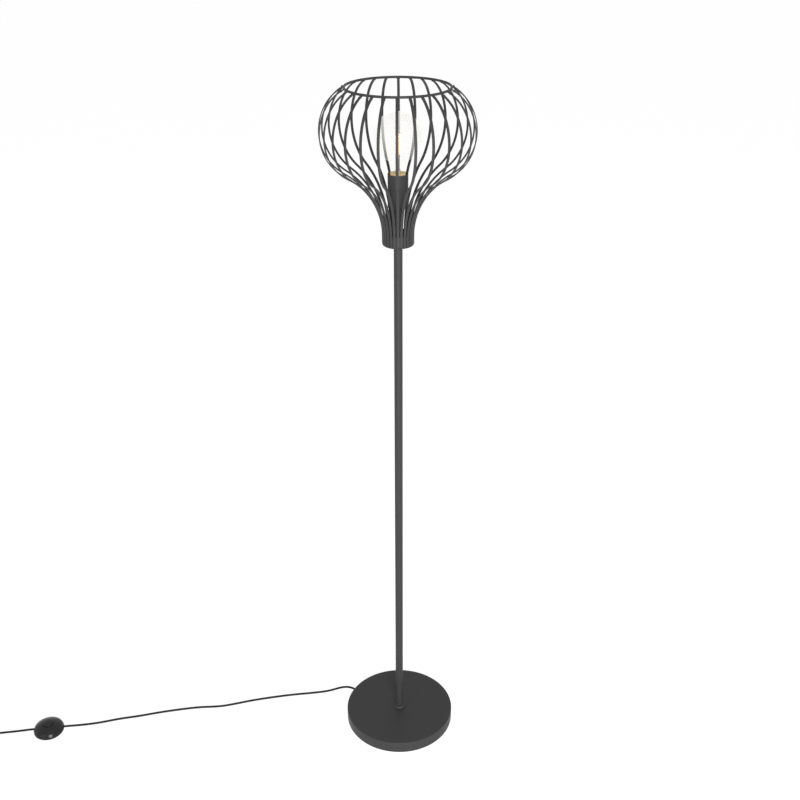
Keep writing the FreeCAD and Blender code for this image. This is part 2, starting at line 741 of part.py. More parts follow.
nose = outward * nose_tip.value + Vector(0, 0, v("exit_height"))
inside_points = [
    nose,
    outward * 96.0 + Vector(0, 0, v("exit_height")),
    outward * 58.0 + Vector(0, 0, v("inner_height")),
    Vector(0, 0, v("inner_height")),
    Vector(0, 0, rod_top.value)]
inner_path = tangent_path(inside_points, "lead inside the lamp", tight={3: v("inner_bend")})
keep("inner_cable", feature("inner_cable", tube_along(inner_path, cord_radius.value)))

floor_level = cord_radius.value + 0.02
switch_at = Vector(v("switch_east"), v("switch_north"), 0)
switch_angle = math.radians(v("switch_turn"))
along = Vector(math.cos(switch_angle), math.sin(switch_angle), 0)
seam = Vector(0, 0, v("switch_seam"))
port = v("switch_radius")
port_run = v("port_run")
block_end = v("block_length") / 2

# The route of the lead on the floor, from the base to the switch.
route_to_switch = [
    nose,
    nose + outward * 18.5,
    Vector(-150.0, 90.6, 3.7),
    Vector(-181.0, 77.4, floor_level),
    Vector(-221.0, 70.2, floor_level),
    Vector(-268.0, 64.2, floor_level),
    Vector(-321.0, 54.2, floor_level),
    Vector(-374.0, 41.9, floor_level),
    Vector(-419.0, 28.0, floor_level),
    Vector(-452.0, 19.6, floor_level),
    Vector(-503.0, 17.2, floor_level),
    Vector(-556.0, 7.6, floor_level),
    Vector(-601.0, -2.4, floor_level),
    Vector(-646.0, -14.9, floor_level),
    Vector(-694.0, -24.6, floor_level),
    Vector(-738.0, -38.2, floor_level),
    Vector(-778.0, -46.9, 3.4),
    switch_at + along * (port + port_run) + seam,
    switch_at + along * block_end + seam]
keep("cord_to_switch", feature("cord_to_switch", tube_along(
    tangent_path(route_to_switch, "lead, base to switch"), cord_radius.value)))

# From the switch to the coil.
coil_heading = math.radians(v("coil_heading"))
coil_along = Vector(math.cos(coil_heading), math.sin(coil_heading), 0)
coil_left = Vector(-math.sin(coil_heading), math.cos(coil_heading), 0)
coil_begin = Vector(-1018.0, -82.2, floor_level)
route_to_coil = [
    switch_at - along * block_end + seam,
    switch_at - along * (port + port_run) + seam,
    Vector(-931.0, -69.3, 3.4),
    Vector(-970.0, -74.1, floor_level),
    coil_begin - coil_along * 18.0,
    coil_begin]
keep("cord_to_coil", feature("cord_to_coil", tube_along(
    tangent_path(route_to_coil, "lead, switch to coil"), cord_radius.value)))


# --------------------------------------------------------------------- the coil
def biarc(p0, t0, p1, t1):
    """Two tangent arcs from p0 along t0 to p1 along t1."""
    across = p1 - p0
    total = t0 + t1
    bend = 2 * (1 - t0.dot(t1))
    vt = across.dot(total)
    d = (-vt + math.sqrt(vt * vt + bend * across.dot(across))) / bend
    joint = (p0 + p1 + (t0 - t1) * d) * 0.5
    pieces = []
    for start, tangent, end in ((p0, t0, joint), (p1, t1 * -1, joint)):
        chord = end - start
        # the circle through start and end with this tangent at start
        normal = tangent.cross(chord)
        inwards = normal.cross(tangent).normalize()
        radius = chord.dot(chord) / (2 * chord.dot(inwards))
        centre = start + inwards * radius
        half = (start + end) * 0.5 - centre
        middle = centre + half.normalize() * radius
        if tangent.dot(end - start) < 0:
            middle = centre - half.normalize() * radius
        pieces.append((start, middle, end))
    first, second = pieces
    return [Part.Arc(*first).toShape(), Part.Arc(second[2], second[1], second[0]).toShape()]


turn_step = (v("cord_diameter") + v("coil_gap")) / 2       # per half turn
layer_step = v("cord_diameter") + v("coil_layer_gap")
run_in = v("cord_diameter")
halves_in, halves_out = int(round(v("coil_halves_in"))), int(round(v("coil_halves_out")))
coil_radii = [v("coil_start_radius") - turn_step * k for k in range(halves_in + 1)]
coil_radii += [coil_radii[-1] + turn_step * k for k in range(halves_out)]
coil_heights = [floor_level] * (halves_in + 1) + [floor_level + layer_step] * halves_out
# the coil turns to the left, so its centre lies to the left of the lead
tangent_point = coil_begin + coil_along * run_in
coil_centre = tangent_point + coil_left * coil_radii[0]
coil_edges = [Part.LineSegment(coil_begin, tangent_point).toShape()]
place, side = tangent_point, -1.0
for k in range(1, len(coil_radii)):
    side = -side
    target = Vector(coil_centre.x, coil_centre.y, coil_heights[k]) + coil_left * (side * coil_radii[k])
    heading_in = coil_along * (1.0 if k % 2 else -1.0)
    if k == halves_in + 1:
        # the spiral reverses half way through this half turn, and climbs over all of it
        reversal = (Vector(coil_centre.x, coil_centre.y, floor_level + layer_step / 2)
                    + heading_in * (coil_radii[k] - turn_step / 2))
        slope = unit(coil_left * side + Vector(0, 0, v("coil_climb")))
        coil_edges += biarc(place, heading_in, reversal, slope)
        coil_edges += biarc(reversal, slope, target, heading_in * -1)
    else:
        coil_edges += biarc(place, heading_in, target, heading_in * -1)
    place = target
coil_end_heading = coil_along * (1.0 if (len(coil_radii) - 1) % 2 == 0 else -1.0)
coil_end = place + coil_end_heading * run_in
coil_edges.append(Part.LineSegment(place, coil_end).toShape())
coil_path = Part.Wire(coil_edges)
spots = coil_path.discretize(Distance=1.0)
least = 1e9
for i in range(0, len(spots)):
    for j in range(i + 30, len(spots)):
        gap = (spots[i] - spots[j]).Length
        if gap < least:
            least = gap
print("coil: length %.1f mm, %d half turns, least gap to itself %.2f mm"
      % (coil_path.Length, len(coil_radii) - 1, least - v("cord_diameter")))
keep("cord_coil", feature("cord_coil", tube_along(coil_path, cord_radius.value)))

# ------------------------------------------------------- from coil to the plug
plug_axis = v("plug_thickness") / 2
plug_turn = math.radians(v("plug_heading"))
plug_along = Vector(math.cos(plug_turn), math.sin(plug_turn), 0)
boot_tip = Vector(-1102.0, -101.0, plug_axis)
route_to_plug = [
    coil_end,
    coil_end + coil_end_heading * 20.0,
    Vector(-1067.0, -90.3, 6.9),
    Vector(-1085.5, -94.6, 6.1),
    boot_tip - plug_along,
    boot_tip + plug_along * v("boot_socket")]
keep("cord_to_plug", feature("cord_to_plug", tube_along(
    tangent_path(route_to_plug, "lead, coil to plug"), cord_radius.value)))

plug_place = Placement(boot_tip, Rotation(Vector(0, 0, 1), v("plug_heading")))


def plug_body_shape():
    """A flat two-pin plug along +X: boot first, then the body, pins last."""
    boot, length, straight = v("boot_length"), v("plug_length"), v("plug_straight")
    half, back, thick = v("plug_width") / 2, v("plug_back_width") / 2, v("plug_thickness") / 2
    corners = [Vector(boot, -back, -thick), Vector(boot + length - straight, -half, -thick),
               Vector(boot + length, -half, -thick), Vector(boot + length, half, -thick),
               Vector(boot + length - straight, half, -thick), Vector(boot, back, -thick)]
    block = Part.Face(Part.makePolygon(corners + [corners[0]])).extrude(Vector(0, 0, 2 * thick))
    rounding = min(v("plug_rounding"), 0.45 * thick)
    edges = [e for e in block.Edges
             if e.BoundBox.XMax < boot + length - 0.01 or e.BoundBox.ZLength > thick]
    block = block.makeFillet(rounding, edges)
    cone = Part.makeCone(v("boot_tip_radius"), v("boot_radius"), boot + rounding,
                         Vector(0, 0, 0), Vector(1, 0, 0))
    hole = Part.makeCylinder(cord_hole.value, v("boot_socket"), Vector(0, 0, 0), Vector(1, 0, 0))
    body = block.fuse(cone).removeSplitter().cut(hole)
    return body.cut(pin_shank(1)).cut(pin_shank(-1))


def pin_shank(side):
    start = v("boot_length") + v("plug_length") - v("pin_root")
    return Part.makeCylinder(v("pin_shank_radius"), v("pin_root"),
                             Vector(start, side * v("pin_spacing") / 2, 0), Vector(1, 0, 0))


def pin_shape(side):
    face, length = v("boot_length") + v("plug_length"), v("pin_length")
    pin = Part.makeCylinder(v("pin_radius"), length,
                            Vector(face, side * v("pin_spacing") / 2, 0), Vector(1, 0, 0))
    pin = pin.makeFillet(v("pin_tip_rounding"),
                         [e for e in pin.Edges if abs(e.BoundBox.XMin - face - length) < 1e-3])
    return pin.fuse(pin_shank(side)).removeSplitter()


keep("plug_body", feature("plug_body", plug_body_shape(), plug_place))
for name, side in (("plug_pin_left", 1), ("plug_pin_right", -1)):
    keep(name, feature(name, pin_shape(side), plug_place))

# ------------------------------------------------------------- the foot switch
switch_place = Placement(switch_at, Rotation(Vector(0, 0, 1), v("switch_turn")))


def dome_geometry():
    """Side bend and crown of the dome: two arcs that meet tangentially."""
    side, skirt, reach = v("switch_side_bend"), v("switch_skirt"), v("switch_radius")
    rise = v("switch_height") - skirt
    flat = reach - side
    crown = (flat ** 2 + rise ** 2 - side ** 2) / (2 * (rise - side))
    side_centre = (flat, skirt)
    crown_centre = (0.0, v("switch_height") - crown)
    lean = math.atan2(side_centre[1] - crown_centre[1], side_centre[0])
    return side, side_centre, crown, crown_centre, lean


def switch_cover_shape():
    side, side_centre, crown, crown_centre, lean = dome_geometry()
    wall, seam_height = v("switch_wall"), v("switch_seam")
    hole = v("button_radius") + v("button_gap")
    low_out = math.asin((seam_height - side_centre[1]) / side)
    low_in = math.asin((seam_height - side_centre[1]) / (side - wall))
    high_out = math.acos(hole / crown)
    high_in = math.acos(hole / (crown - wall))
    outer_low = (side_centre[0] + side * math.cos(low_out), seam_height)
    inner_low = (side_centre[0] + (side - wall) * math.cos(low_in), seam_height)
    outer_high = (hole, crown_centre[1] + crown * math.sin(high_out))
    inner_high = (hole, crown_centre[1] + (crown - wall) * math.sin(high_in))
    edges = [arc(side_centre, side, low_out, lean), arc(crown_centre, crown, lean, high_out),
             line(outer_high, inner_high),
             arc(crown_centre, crown - wall, high_in, lean), arc(side_centre, side - wall, lean, low_in),
             line(inner_low, outer_low)]
    return revolved(edges).cut(lead_ports()), outer_low, inner_low


def lead_ports():
    """The way of the lead through the housing, from side to side."""
    reach = v("switch_radius") + v("cord_diameter")
    return Part.makeCylinder(cord_hole.value, 2 * reach, Vector(-reach, 0, v("switch_seam")), Vector(1, 0, 0))


cover_shape, outer_low, inner_low = switch_cover_shape()


def switch_base_shape():
    side, side_centre, crown, crown_centre, lean = dome_geometry()
    inset, foot_rise, floor = v("switch_foot_inset"), v("switch_foot_rise"), v("switch_floor")
    reach, skirt, seam_height = v("switch_radius"), v("switch_skirt"), v("switch_seam")
    low_out = math.asin((seam_height - side_centre[1]) / side)
    edges = [line((0, 0), (reach - inset, 0)), line((reach - inset, 0), (reach, foot_rise)),
             line((reach, foot_rise), (reach, skirt)), arc(side_centre, side, 0.0, low_out),
             line(outer_low, inner_low), line(inner_low, (inner_low[0], floor)),
             line((inner_low[0], floor), (0, floor)), line((0, floor), (0, 0))]
    dish = revolved(edges).cut(lead_ports())
    block_top = v("button_flange_top") - v("button_flange_height") - v("button_travel") - v("rest_gap")
    length, width = v("block_length"), v("block_width")
    block = Part.makeBox(length, width, block_top - floor, Vector(-length / 2, -width / 2, floor))
    return dish.fuse(block).removeSplitter()


def switch_button_shape():
    crown_rise = v("button_crown")
    reach = v("button_radius")
    rim, flange_top = v("button_rim"), v("button_flange_top")
    flange_bottom = flange_top - v("button_flange_height")
    flange_reach = reach + v("button_flange")
    crown = (reach ** 2 + crown_rise ** 2) / (2 * crown_rise)
    lean = math.asin(reach / crown)
    up = math.pi / 2
    edges = [line((0, flange_bottom), (flange_reach, flange_bottom)),
             line((flange_reach, flange_bottom), (flange_reach, flange_top)),
             line((flange_reach, flange_top), (reach, flange_top)),
             line((reach, flange_top), (reach, rim)),
             arc((0.0, rim + crown_rise - crown), crown, up - lean, up),
             line((0, rim + crown_rise), (0, flange_bottom))]
    return revolved(edges)


keep("switch_cover", feature("switch_cover", cover_shape, switch_place))
keep("switch_base", feature("switch_base", switch_base_shape(), switch_place))
keep("switch_button", feature("switch_button", switch_button_shape(), switch_place))

# ------------------------------------------------------------ check and export
doc.recompute()
for obj in doc.Objects:
    if any(word in obj.State for word in ("Invalid", "Error")):
        raise RuntimeError("%s failed: %s" % (obj.Name, obj.State))
for name, obj in nodes.items():
    shape = obj.Shape
    if shape.isNull() or not shape.isValid() or len(shape.Solids) != 1 or shape.Volume <= 0:
        raise RuntimeError("%s has no sound solid (%d solids)" % (name, len(shape.Solids)))

os.makedirs("parts", exist_ok=True)
for name, obj in nodes.items():
    obj.Shape.exportStep(os.path.join("parts", name + ".step"))
print("%d pieces written" % len(nodes))
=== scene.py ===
"""Wire cage floor lamp: a round foot, a plain pole and a cage of bent steel
strips round a clear globe bulb, with its lead, foot switch and plug."""

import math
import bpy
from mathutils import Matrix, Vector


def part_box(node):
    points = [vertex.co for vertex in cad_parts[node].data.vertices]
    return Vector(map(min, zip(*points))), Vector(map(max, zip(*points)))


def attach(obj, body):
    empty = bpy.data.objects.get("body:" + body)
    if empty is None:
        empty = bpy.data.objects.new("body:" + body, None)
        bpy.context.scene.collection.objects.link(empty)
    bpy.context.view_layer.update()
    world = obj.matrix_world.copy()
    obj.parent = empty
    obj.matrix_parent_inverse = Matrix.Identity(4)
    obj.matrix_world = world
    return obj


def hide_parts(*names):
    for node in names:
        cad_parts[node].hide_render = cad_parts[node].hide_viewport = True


bl_info = {
    "name": "Wire Cage Floor Lamp",
    "version": (1, 0, 0),
    "blender": (4, 5, 0),
    "location": "3D View > Sidebar > Cage Lamp",
    "description": "Builds the visible pieces of a wire cage floor lamp, one operator for each group",
    "category": "Object",
}

import bmesh
import bpy
from bpy.props import FloatProperty, FloatVectorProperty, IntProperty, PointerProperty
from mathutils import Matrix, Vector

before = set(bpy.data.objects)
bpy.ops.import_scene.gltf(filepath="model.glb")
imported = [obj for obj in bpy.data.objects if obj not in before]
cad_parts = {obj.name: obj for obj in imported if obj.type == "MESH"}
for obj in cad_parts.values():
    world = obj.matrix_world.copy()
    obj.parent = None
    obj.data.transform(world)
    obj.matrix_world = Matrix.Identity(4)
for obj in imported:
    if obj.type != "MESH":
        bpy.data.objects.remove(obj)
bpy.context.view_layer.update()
MM = 0.001
UP = Vector((0.0, 0.0, 1.0))

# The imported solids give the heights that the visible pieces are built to.
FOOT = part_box("base_shell")
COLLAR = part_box("foot_collar")
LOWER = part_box("pole_lower")
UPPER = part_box("pole_upper")
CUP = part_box("cage_cup")
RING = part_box("cage_ring")
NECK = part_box("neck_tube")
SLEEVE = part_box("holder_sleeve")
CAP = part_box("bulb_cap")
LIP_HEIGHT = CAP[1].z

BORE = 0.0051           # hole that the hollow threaded rods pass through
TUBE_WALL = 0.0013
BUSH_LENGTH = 0.014     # threaded bush in each end of a tube
CUP_WALL = 0.0012
SMOOTH_UP_TO = math.radians(35.0)
WHITE = (1.0, 1.0, 1.0, 1.0)
# share of the brass's colour painted on the glass's lip, as its colour and as a painted glow
LIP_GOLD_GLOW = 0.42         # share of the brass's colour that shows at the glass's lip

# The camera, fitted to the photograph: place in millimetres, directions, focal length in its pixels.
CAMERA_AT = Vector((22.12, -2001.53, 1895.66))
CAMERA_AHEAD = Vector((-0.00848593, 0.89139295, -0.45315185))
CAMERA_ABOVE = Vector((-0.002314, 0.45314945, 0.89143156))
FOCAL_PIXELS = 1059.33
PHOTO_PIXELS = 800.0
SENSOR_WIDTH = 36.0


# ---------------------------------------------------------------- settings
def length(name, description, default):
    return FloatProperty(name=name, description=description, default=default, min=0.0,
                         unit="LENGTH", precision=4)


def tint(name, description, default):
    return FloatVectorProperty(name=name, description=description, default=default,
                               size=3, min=0.0, max=1.0, subtype="COLOR")


class LampSizes(bpy.types.PropertyGroup):
    """Sizes of the visible pieces."""

    base_radius: length("Foot radius", "Outside of the round foot", FOOT[1].x)
    base_rounding: length("Foot edge", "Rounding of the foot's upper edge", 0.0016)
    cover_wall: length("Cover sheet", "Thickness of the foot's steel cover", 0.0012)
    collar_rounding: length("Collar rounding", "Shoulder of the collar at the pole's foot", 0.0038)
    pole_radius: length("Pole radius", "Outside of the pole's tubes", 0.0088)
    pole_chamfer: length("Tube chamfer", "Fine chamfer at the ends of the tubes", 0.00035)
    strip_count: IntProperty(name="Strips", description="Strips round the cage", default=28, min=3)
    strip_width: length("Strip width", "Width of a cage strip", 0.0053)
    strip_thickness: length("Strip thickness", "Thickness of a cage strip", 0.0020)
    strip_edge: length("Strip edge", "Rounding of a strip's long edges", 0.00045)
    weld_radius: length("Weld", "Size of the weld where a strip meets the ring", 0.0029)
    ring_radius: length("Ring radius", "Top ring, to the centre of its wire", 0.0995)
    ring_wire: length("Ring wire", "Diameter of the ring's wire", 0.0048)
    sleeve_wall: length("Sleeve sheet", "Sheet of the lampholder's sleeve", 0.0009)
    globe_radius: length("Globe", "Radius of the clear globe", 0.0475)
    neck_length: length("Glass neck", "Straight neck between the cap and the globe", 0.0165)
    glass_wall: length("Glass", "Thickness of the glass", 0.0008)
    thread_pitch: length("Thread pitch", "Pitch of the cap's rolled thread", 0.003629)
    filament_count: IntProperty(name="Filaments", description="Filaments round the stem", default=4, min=1)
    filament_radius: length("Filament", "Radius of one filament", 0.00085)
    lead_diameter: length("Lead", "Diameter of the mains lead", 0.0052)
    button_radius: length("Button", "Radius of the foot switch's button", 0.0130)
    button_groove: length("Groove", "Gap round the foot switch's button", 0.0014)
    tie_width: length("Tie", "Width of the strap round the coiled lead", 0.0100)


class LampColours(bpy.types.PropertyGroup):
    """Colours of the finishes."""

    coat: tint("Powder coat", "Matt black powder coat", (0.053, 0.053, 0.054))
    felt: tint("Felt", "Pad under the foot", (0.022, 0.022, 0.024))
    cement: tint("Counterweight", "Cast counterweight in the foot", (0.42, 0.40, 0.37))
    zinc: tint("Zinc", "Plated rods and nuts", (0.62, 0.62, 0.60))
    holder: tint("Holder", "Moulded insert of the lampholder", (0.012, 0.012, 0.013))
    brass: tint("Cap", "Brass of the bulb's cap", (0.78, 0.56, 0.22))
    glass: tint("Glass", "Clear glass of the bulb", (0.93, 0.92, 0.90))
    glow: tint("Glow", "Light of the filaments", (1.0, 0.52, 0.14))
    sheath: tint("Lead", "Sheath of the mains lead", (0.010, 0.010, 0.011))
    switch: tint("Switch", "Glossy housing of the foot switch", (0.007, 0.007, 0.008))
    plug: tint("Plug", "Moulded plug", (0.016, 0.016, 0.017))
    nickel: tint("Pins", "Nickel of the plug's pins", (0.66, 0.64, 0.60))
    floor: tint("Floor", "Pale floor of the stage", (0.80, 0.80, 0.80))


def sizes():
    return bpy.context.scene.cage_lamp_sizes


def colours():
    return bpy.context.scene.cage_lamp_colours


# ------------------------------------------------------------------- nodes
class Wire:
    """A socket on which plain arithmetic adds Math nodes."""

    def __init__(self, net, socket):
        self.net = net
        self.socket = socket

    def maths(self, operation, first, second):
        return self.net.node("ShaderNodeMath", {"operation": operation}, {0: first, 1: second})

    def __add__(self, other):
        return self.maths("ADD", self, other)

    def __sub__(self, other):
        return self.maths("SUBTRACT", self, other)

    def __mul__(self, other):
        return self.maths("MULTIPLY", self, other)

    def __truediv__(self, other):
        return self.maths("DIVIDE", self, other)

    def __rsub__(self, other):
        return self.maths("SUBTRACT", other, self)

    __radd__ = __add__
    __rmul__ = __mul__


class Net:
    """The nodes of one material, world or Geometry Nodes tree."""

    def __init__(self, tree):
        self.tree = tree
        tree.nodes.clear()

    def node(self, kind, settings=None, inputs=None, output=0):
        """Add a node: its settings first, then a value or a link for each socket."""
        made = self.tree.nodes.new(kind)
        for key, value in (settings or {}).items():
            setattr(made, key, value)
        for key, value in (inputs or {}).items():
            socket = made.inputs[key]
            if isinstance(value, Wire):
                self.tree.links.new(value.socket, socket)
            else:
                socket.default_value = value
        return Wire(self, made.outputs[output])

    def spot(self):
        """The place on the piece, in its own coordinates."""
        return self.node("ShaderNodeTexCoord", output="Object")

    def height_over_lip(self):
        """Height over the cap's upper edge, where the glass begins."""
        return self.node("ShaderNodeSeparateXYZ", inputs={0: self.spot()}, output=2) - LIP_HEIGHT

    def noise(self, scale, detail=2.0, rough=0.5, stretch=None):
        """Noise from 0 to 1; stretch gives a scale for each direction."""
        where = self.spot()
        if stretch:
            where = self.node("ShaderNodeMapping", inputs={"Vector": where, "Scale": stretch})
        return self.node("ShaderNodeTexNoise", inputs={
            "Vector": where, "Scale": scale, "Detail": detail, "Roughness": rough})

    def spread(self, value, low, high, to_low, to_high):
        return self.node("ShaderNodeMapRange", inputs={
            "Value": value, "From Min": low, "From Max": high, "To Min": to_low, "To Max": to_high})

    def mix(self, factor, first, second):
        """Two colours mixed."""
        return self.node("ShaderNodeMix", {"data_type": "RGBA"}, {0: factor, 6: first, 7: second}, 2)

    def bump(self, height, distance, strength=1.0, under=None):
        values = {"Height": height, "Distance": distance, "Strength": strength}
        if under:
            values["Normal"] = under
        return self.node("ShaderNodeBump", inputs=values)


def rgba(colour, factor=1.0):
    return tuple(min(1.0, c * factor) for c in colour) + (1.0,)


def new_material(name):
    material = bpy.data.materials.new(name)
    material.use_nodes = True
    return material, Net(material.node_tree)


def surface(net, shader, target="ShaderNodeOutputMaterial"):
    out = net.tree.nodes.new(target)
    net.tree.links.new(shader.socket, out.inputs["Surface"])


# --------------------------------------------------------------- materials
def powder_coat(net):
    """Matt black powder coat: a fine sandy grain, with a painted highlight on its crests and painted shade
    in its hollows.
    """
    coat = colours().coat
    grain = net.noise(2600.0, 3.0, 0.6)
    orange_peel = net.noise(420.0, 2.0, 0.5)
    haze = net.noise(14.0, 3.0, 0.55)
    # painted highlight and shade: lighter where the grain's bumps stand up, darker in its hollows
    painted_crest_light = net.spread(grain, 0.35, 0.75, 0.0, 1.0)
    base = net.mix(painted_crest_light, rgba(coat, 0.86), rgba(coat, 1.16))
    base = net.mix(net.spread(haze, 0.35, 0.75, 0.0, 0.5), base, rgba(coat, 1.10))
    rough = net.spread(haze, 0.3, 0.7, 0.46, 0.54)
    normal = net.bump(grain, 0.00006, 0.55, net.bump(orange_peel, 0.00012, 0.25))
    return net.node("ShaderNodeBsdfPrincipled", inputs={
        "Base Color": base, "Roughness": rough, "Specular IOR Level": 0.20, "Normal": normal})


def felt(net):
    """Pressed felt: short fibres in all directions."""
    colour = colours().felt
    lay = net.noise(900.0, 4.0, 0.7, (1.0, 0.35, 1.0))
    cross = net.noise(1100.0, 4.0, 0.7, (0.3, 1.0, 1.0))
    fibres = lay * 0.5 + cross * 0.5
    base = net.mix(net.spread(fibres, 0.38, 0.62, 0.0, 1.0), rgba(colour, 0.6), rgba(colour, 1.7))
    return net.node("ShaderNodeBsdfPrincipled", inputs={
        "Base Color": base, "Roughness": 0.96, "Specular IOR Level": 0.1,
        "Sheen Weight": 0.25, "Normal": net.bump(fibres, 0.0004, 0.8)})


def cement(net):
    """Cast counterweight with pores, darkened by painted shade, and a cloudy tone."""
    colour = colours().cement
    cloud = net.noise(45.0, 6.0, 0.6)
    pores = net.node("ShaderNodeTexVoronoi", inputs={"Vector": net.spot(), "Scale": 380.0})
    base = net.mix(net.spread(cloud, 0.3, 0.7, 0.0, 1.0), rgba(colour, 0.8), rgba(colour, 1.12))
    # painted shade: darker in the pores
    base = net.mix(net.spread(pores, 0.0, 0.25, 0.55, 0.0), base, rgba(colour, 0.45))
    return net.node("ShaderNodeBsdfPrincipled", inputs={
        "Base Color": base, "Roughness": 0.9,
        "Normal": net.bump(cloud + net.spread(pores, 0.0, 0.3, 0.0, 0.6), 0.0006, 0.6)})


def zinc(net):
    """Bright zinc plating with a rolled thread."""
    colour = colours().zinc
    patch = net.node("ShaderNodeTexVoronoi", inputs={"Vector": net.spot(), "Scale": 700.0})
    base = net.mix(net.spread(patch, 0.0, 0.6, 0.0, 1.0), rgba(colour, 0.85), rgba(colour, 1.1))
    thread = net.node("ShaderNodeTexWave", {"bands_direction": "Z"}, {
        "Vector": net.spot(), "Scale": 314.0, "Distortion": 0.0}, 1)
    return net.node("ShaderNodeBsdfPrincipled", inputs={
        "Base Color": base, "Metallic": 1.0,
        "Roughness": net.spread(net.noise(300.0), 0.3, 0.7, 0.28, 0.45),
        "Normal": net.bump(thread, 0.0004, 0.6)})


def moulding(colour_of, rough_low, rough_high, grain_scale, grain_depth, shine=0.5):
    """A moulded plastic: fine spark-eroded grain, gloss that varies a little, light dust."""
    def build(net):
        colour = colour_of()
        grain = net.noise(grain_scale, 3.0, 0.55)
        handling = net.noise(60.0, 4.0, 0.6)
        base = net.mix(net.spread(handling, 0.45, 0.75, 0.0, 0.35), rgba(colour), rgba(colour, 1.9))
        rough = net.spread(handling, 0.3, 0.7, rough_low, rough_high)
        return net.node("ShaderNodeBsdfPrincipled", inputs={
            "Base Color": base, "Roughness": rough, "Specular IOR Level": shine,
            "Normal": net.bump(grain, grain_depth, 0.5)})
    return build


def brass(net):
    """Brass of the cap: drawn lines round it and darker tarnish in the hollows."""
    colour = colours().brass
    drawn = net.noise(60.0, 3.0, 0.6, (1.0, 1.0, 60.0))
    tarnish = net.noise(160.0, 4.0, 0.6)
    base = net.mix(net.spread(tarnish, 0.4, 0.75, 0.0, 0.6), rgba(colour), rgba(colour, 0.72))
    return net.node("ShaderNodeBsdfPrincipled", inputs={
        "Base Color": base, "Metallic": 1.0,
        "Roughness": net.spread(drawn, 0.3, 0.7, 0.20, 0.36),
        "Normal": net.bump(drawn, 0.00003, 0.5)})


def nickel(net):
    """Nickel plate with fine scratches along the pins."""
    colour = colours().nickel
    rub = net.noise(500.0, 3.0, 0.6, (0.2, 1.0, 1.0))
    return net.node("ShaderNodeBsdfPrincipled", inputs={
        "Base Color": net.mix(net.spread(rub, 0.4, 0.7, 0.0, 0.5), rgba(colour), rgba(colour, 0.8)),
        "Metallic": 1.0, "Roughness": net.spread(rub, 0.3, 0.7, 0.18, 0.34),
        "Normal": net.bump(rub, 0.00002, 0.4)})


def bulb_glass(net):
    """Thin clear glass: a painted pale glow over the lit globe, with painted shade darkening its outline
    most of all below the globe, a clear neck, and a painted glow in the cap's gold at its lip.
    """
    facing = net.node("ShaderNodeLayerWeight", inputs={"Blend": 0.35}, output="Facing")
    waves = net.noise(26.0, 2.0, 0.5)
    height = net.height_over_lip()
    above_lip = net.spread(height, 0.0030, 0.0050, 0.0, 1.0)
    in_globe = net.spread(height, 0.022, 0.040, 0.0, 1.0)
    rim = net.spread(facing, 0.70, 1.0, 0.0, 1.0)
    # painted shade: the glow is darker at the glass's outline, darkest below the globe
    outline = net.mix(in_globe, (0.12, 0.10, 0.12, 1.0), (0.42, 0.42, 0.41, 1.0))
    light = net.mix(rim, (0.62, 0.615, 0.60, 1.0), outline)
    # painted gold: the brass's colour given to the lip's glass, as its colour and as a painted glow
    painted_gold = rgba(colours().brass, LIP_GOLD_GLOW)
    # the painted glow: emission over the globe's glass that stands in for the lit bulb's glare
    painted_glow = net.node("ShaderNodeBsdfPrincipled", inputs={
        "Base Color": net.mix(above_lip, painted_gold, rgba(colours().glass, 0.4)), "Roughness": 0.08,
        "Emission Color": net.mix(above_lip, painted_gold, light), "Emission Strength": 1.0,
        "Normal": net.bump(waves, 0.0002, 0.12)})
    clear = net.node("ShaderNodeBsdfTransparent", inputs={"Color": (0.995, 0.995, 0.99, 1.0)})
    share = net.spread(height, 0.022, 0.115, 0.02, 0.22)
    share = share + rim * (0.50 - 0.30 * in_globe) + (1.0 - above_lip) * 0.70
    return net.node("ShaderNodeMixShader", inputs={0: share, 1: clear, 2: painted_glow})


def stem_glass(net):
    """Clear drawn glass of the stem: a painted amber glow round the filaments, and a painted gold glow where
    its flare meets the cap.
    """
    facing = net.node("ShaderNodeLayerWeight", inputs={"Blend": 0.45}, output="Facing")
    drawn = net.noise(90.0, 2.0, 0.5, (1.0, 1.0, 0.1))
    height = net.height_over_lip()
    flare = net.spread(height, 0.000, 0.006, 1.0, 0.0)
    # painted glow zone: here the stem's glass is given the filaments' amber as a painted glow
    painted_glow_zone = net.spread(height, 0.030, 0.044, 0.0, 1.0)
    painted_gold = rgba(colours().brass, LIP_GOLD_GLOW)
    # painted gold glow at the flare and near black emission elsewhere, under the painted amber glow
    light = net.mix(flare, (0.02, 0.02, 0.02, 1.0), painted_gold)
    edge = net.node("ShaderNodeBsdfPrincipled", inputs={
        "Base Color": net.mix(flare, rgba(colours().glass, 0.5), painted_gold), "Roughness": 0.06,
        "Emission Color": net.mix(painted_glow_zone, light, rgba(colours().glow)), "Emission Strength": 1.0,
        "Normal": net.bump(drawn, 0.0002, 0.2)})
    clear = net.node("ShaderNodeBsdfTransparent", inputs={"Color": (0.98, 0.98, 0.97, 1.0)})
    return net.node("ShaderNodeMixShader", inputs={
        0: net.spread(facing, 0.0, 1.0, 0.10, 0.60) + painted_glow_zone * 0.35 + flare * 0.60, 1: clear, 2: edge})


def filament_glow(net):
    """Amber filament: brighter in the beads of its coating."""
    glow = colours().glow
    beads = net.noise(900.0, 2.0, 0.5)
    light = net.mix(net.spread(beads, 0.35, 0.65, 0.0, 1.0), rgba(glow), (1.0, 0.72, 0.34, 1.0))
    return net.node("ShaderNodeBsdfPrincipled", inputs={
        "Base Color": (0.9, 0.55, 0.2, 1.0), "Roughness": 0.5,
        "Emission Color": light, "Emission Strength": 4.0})


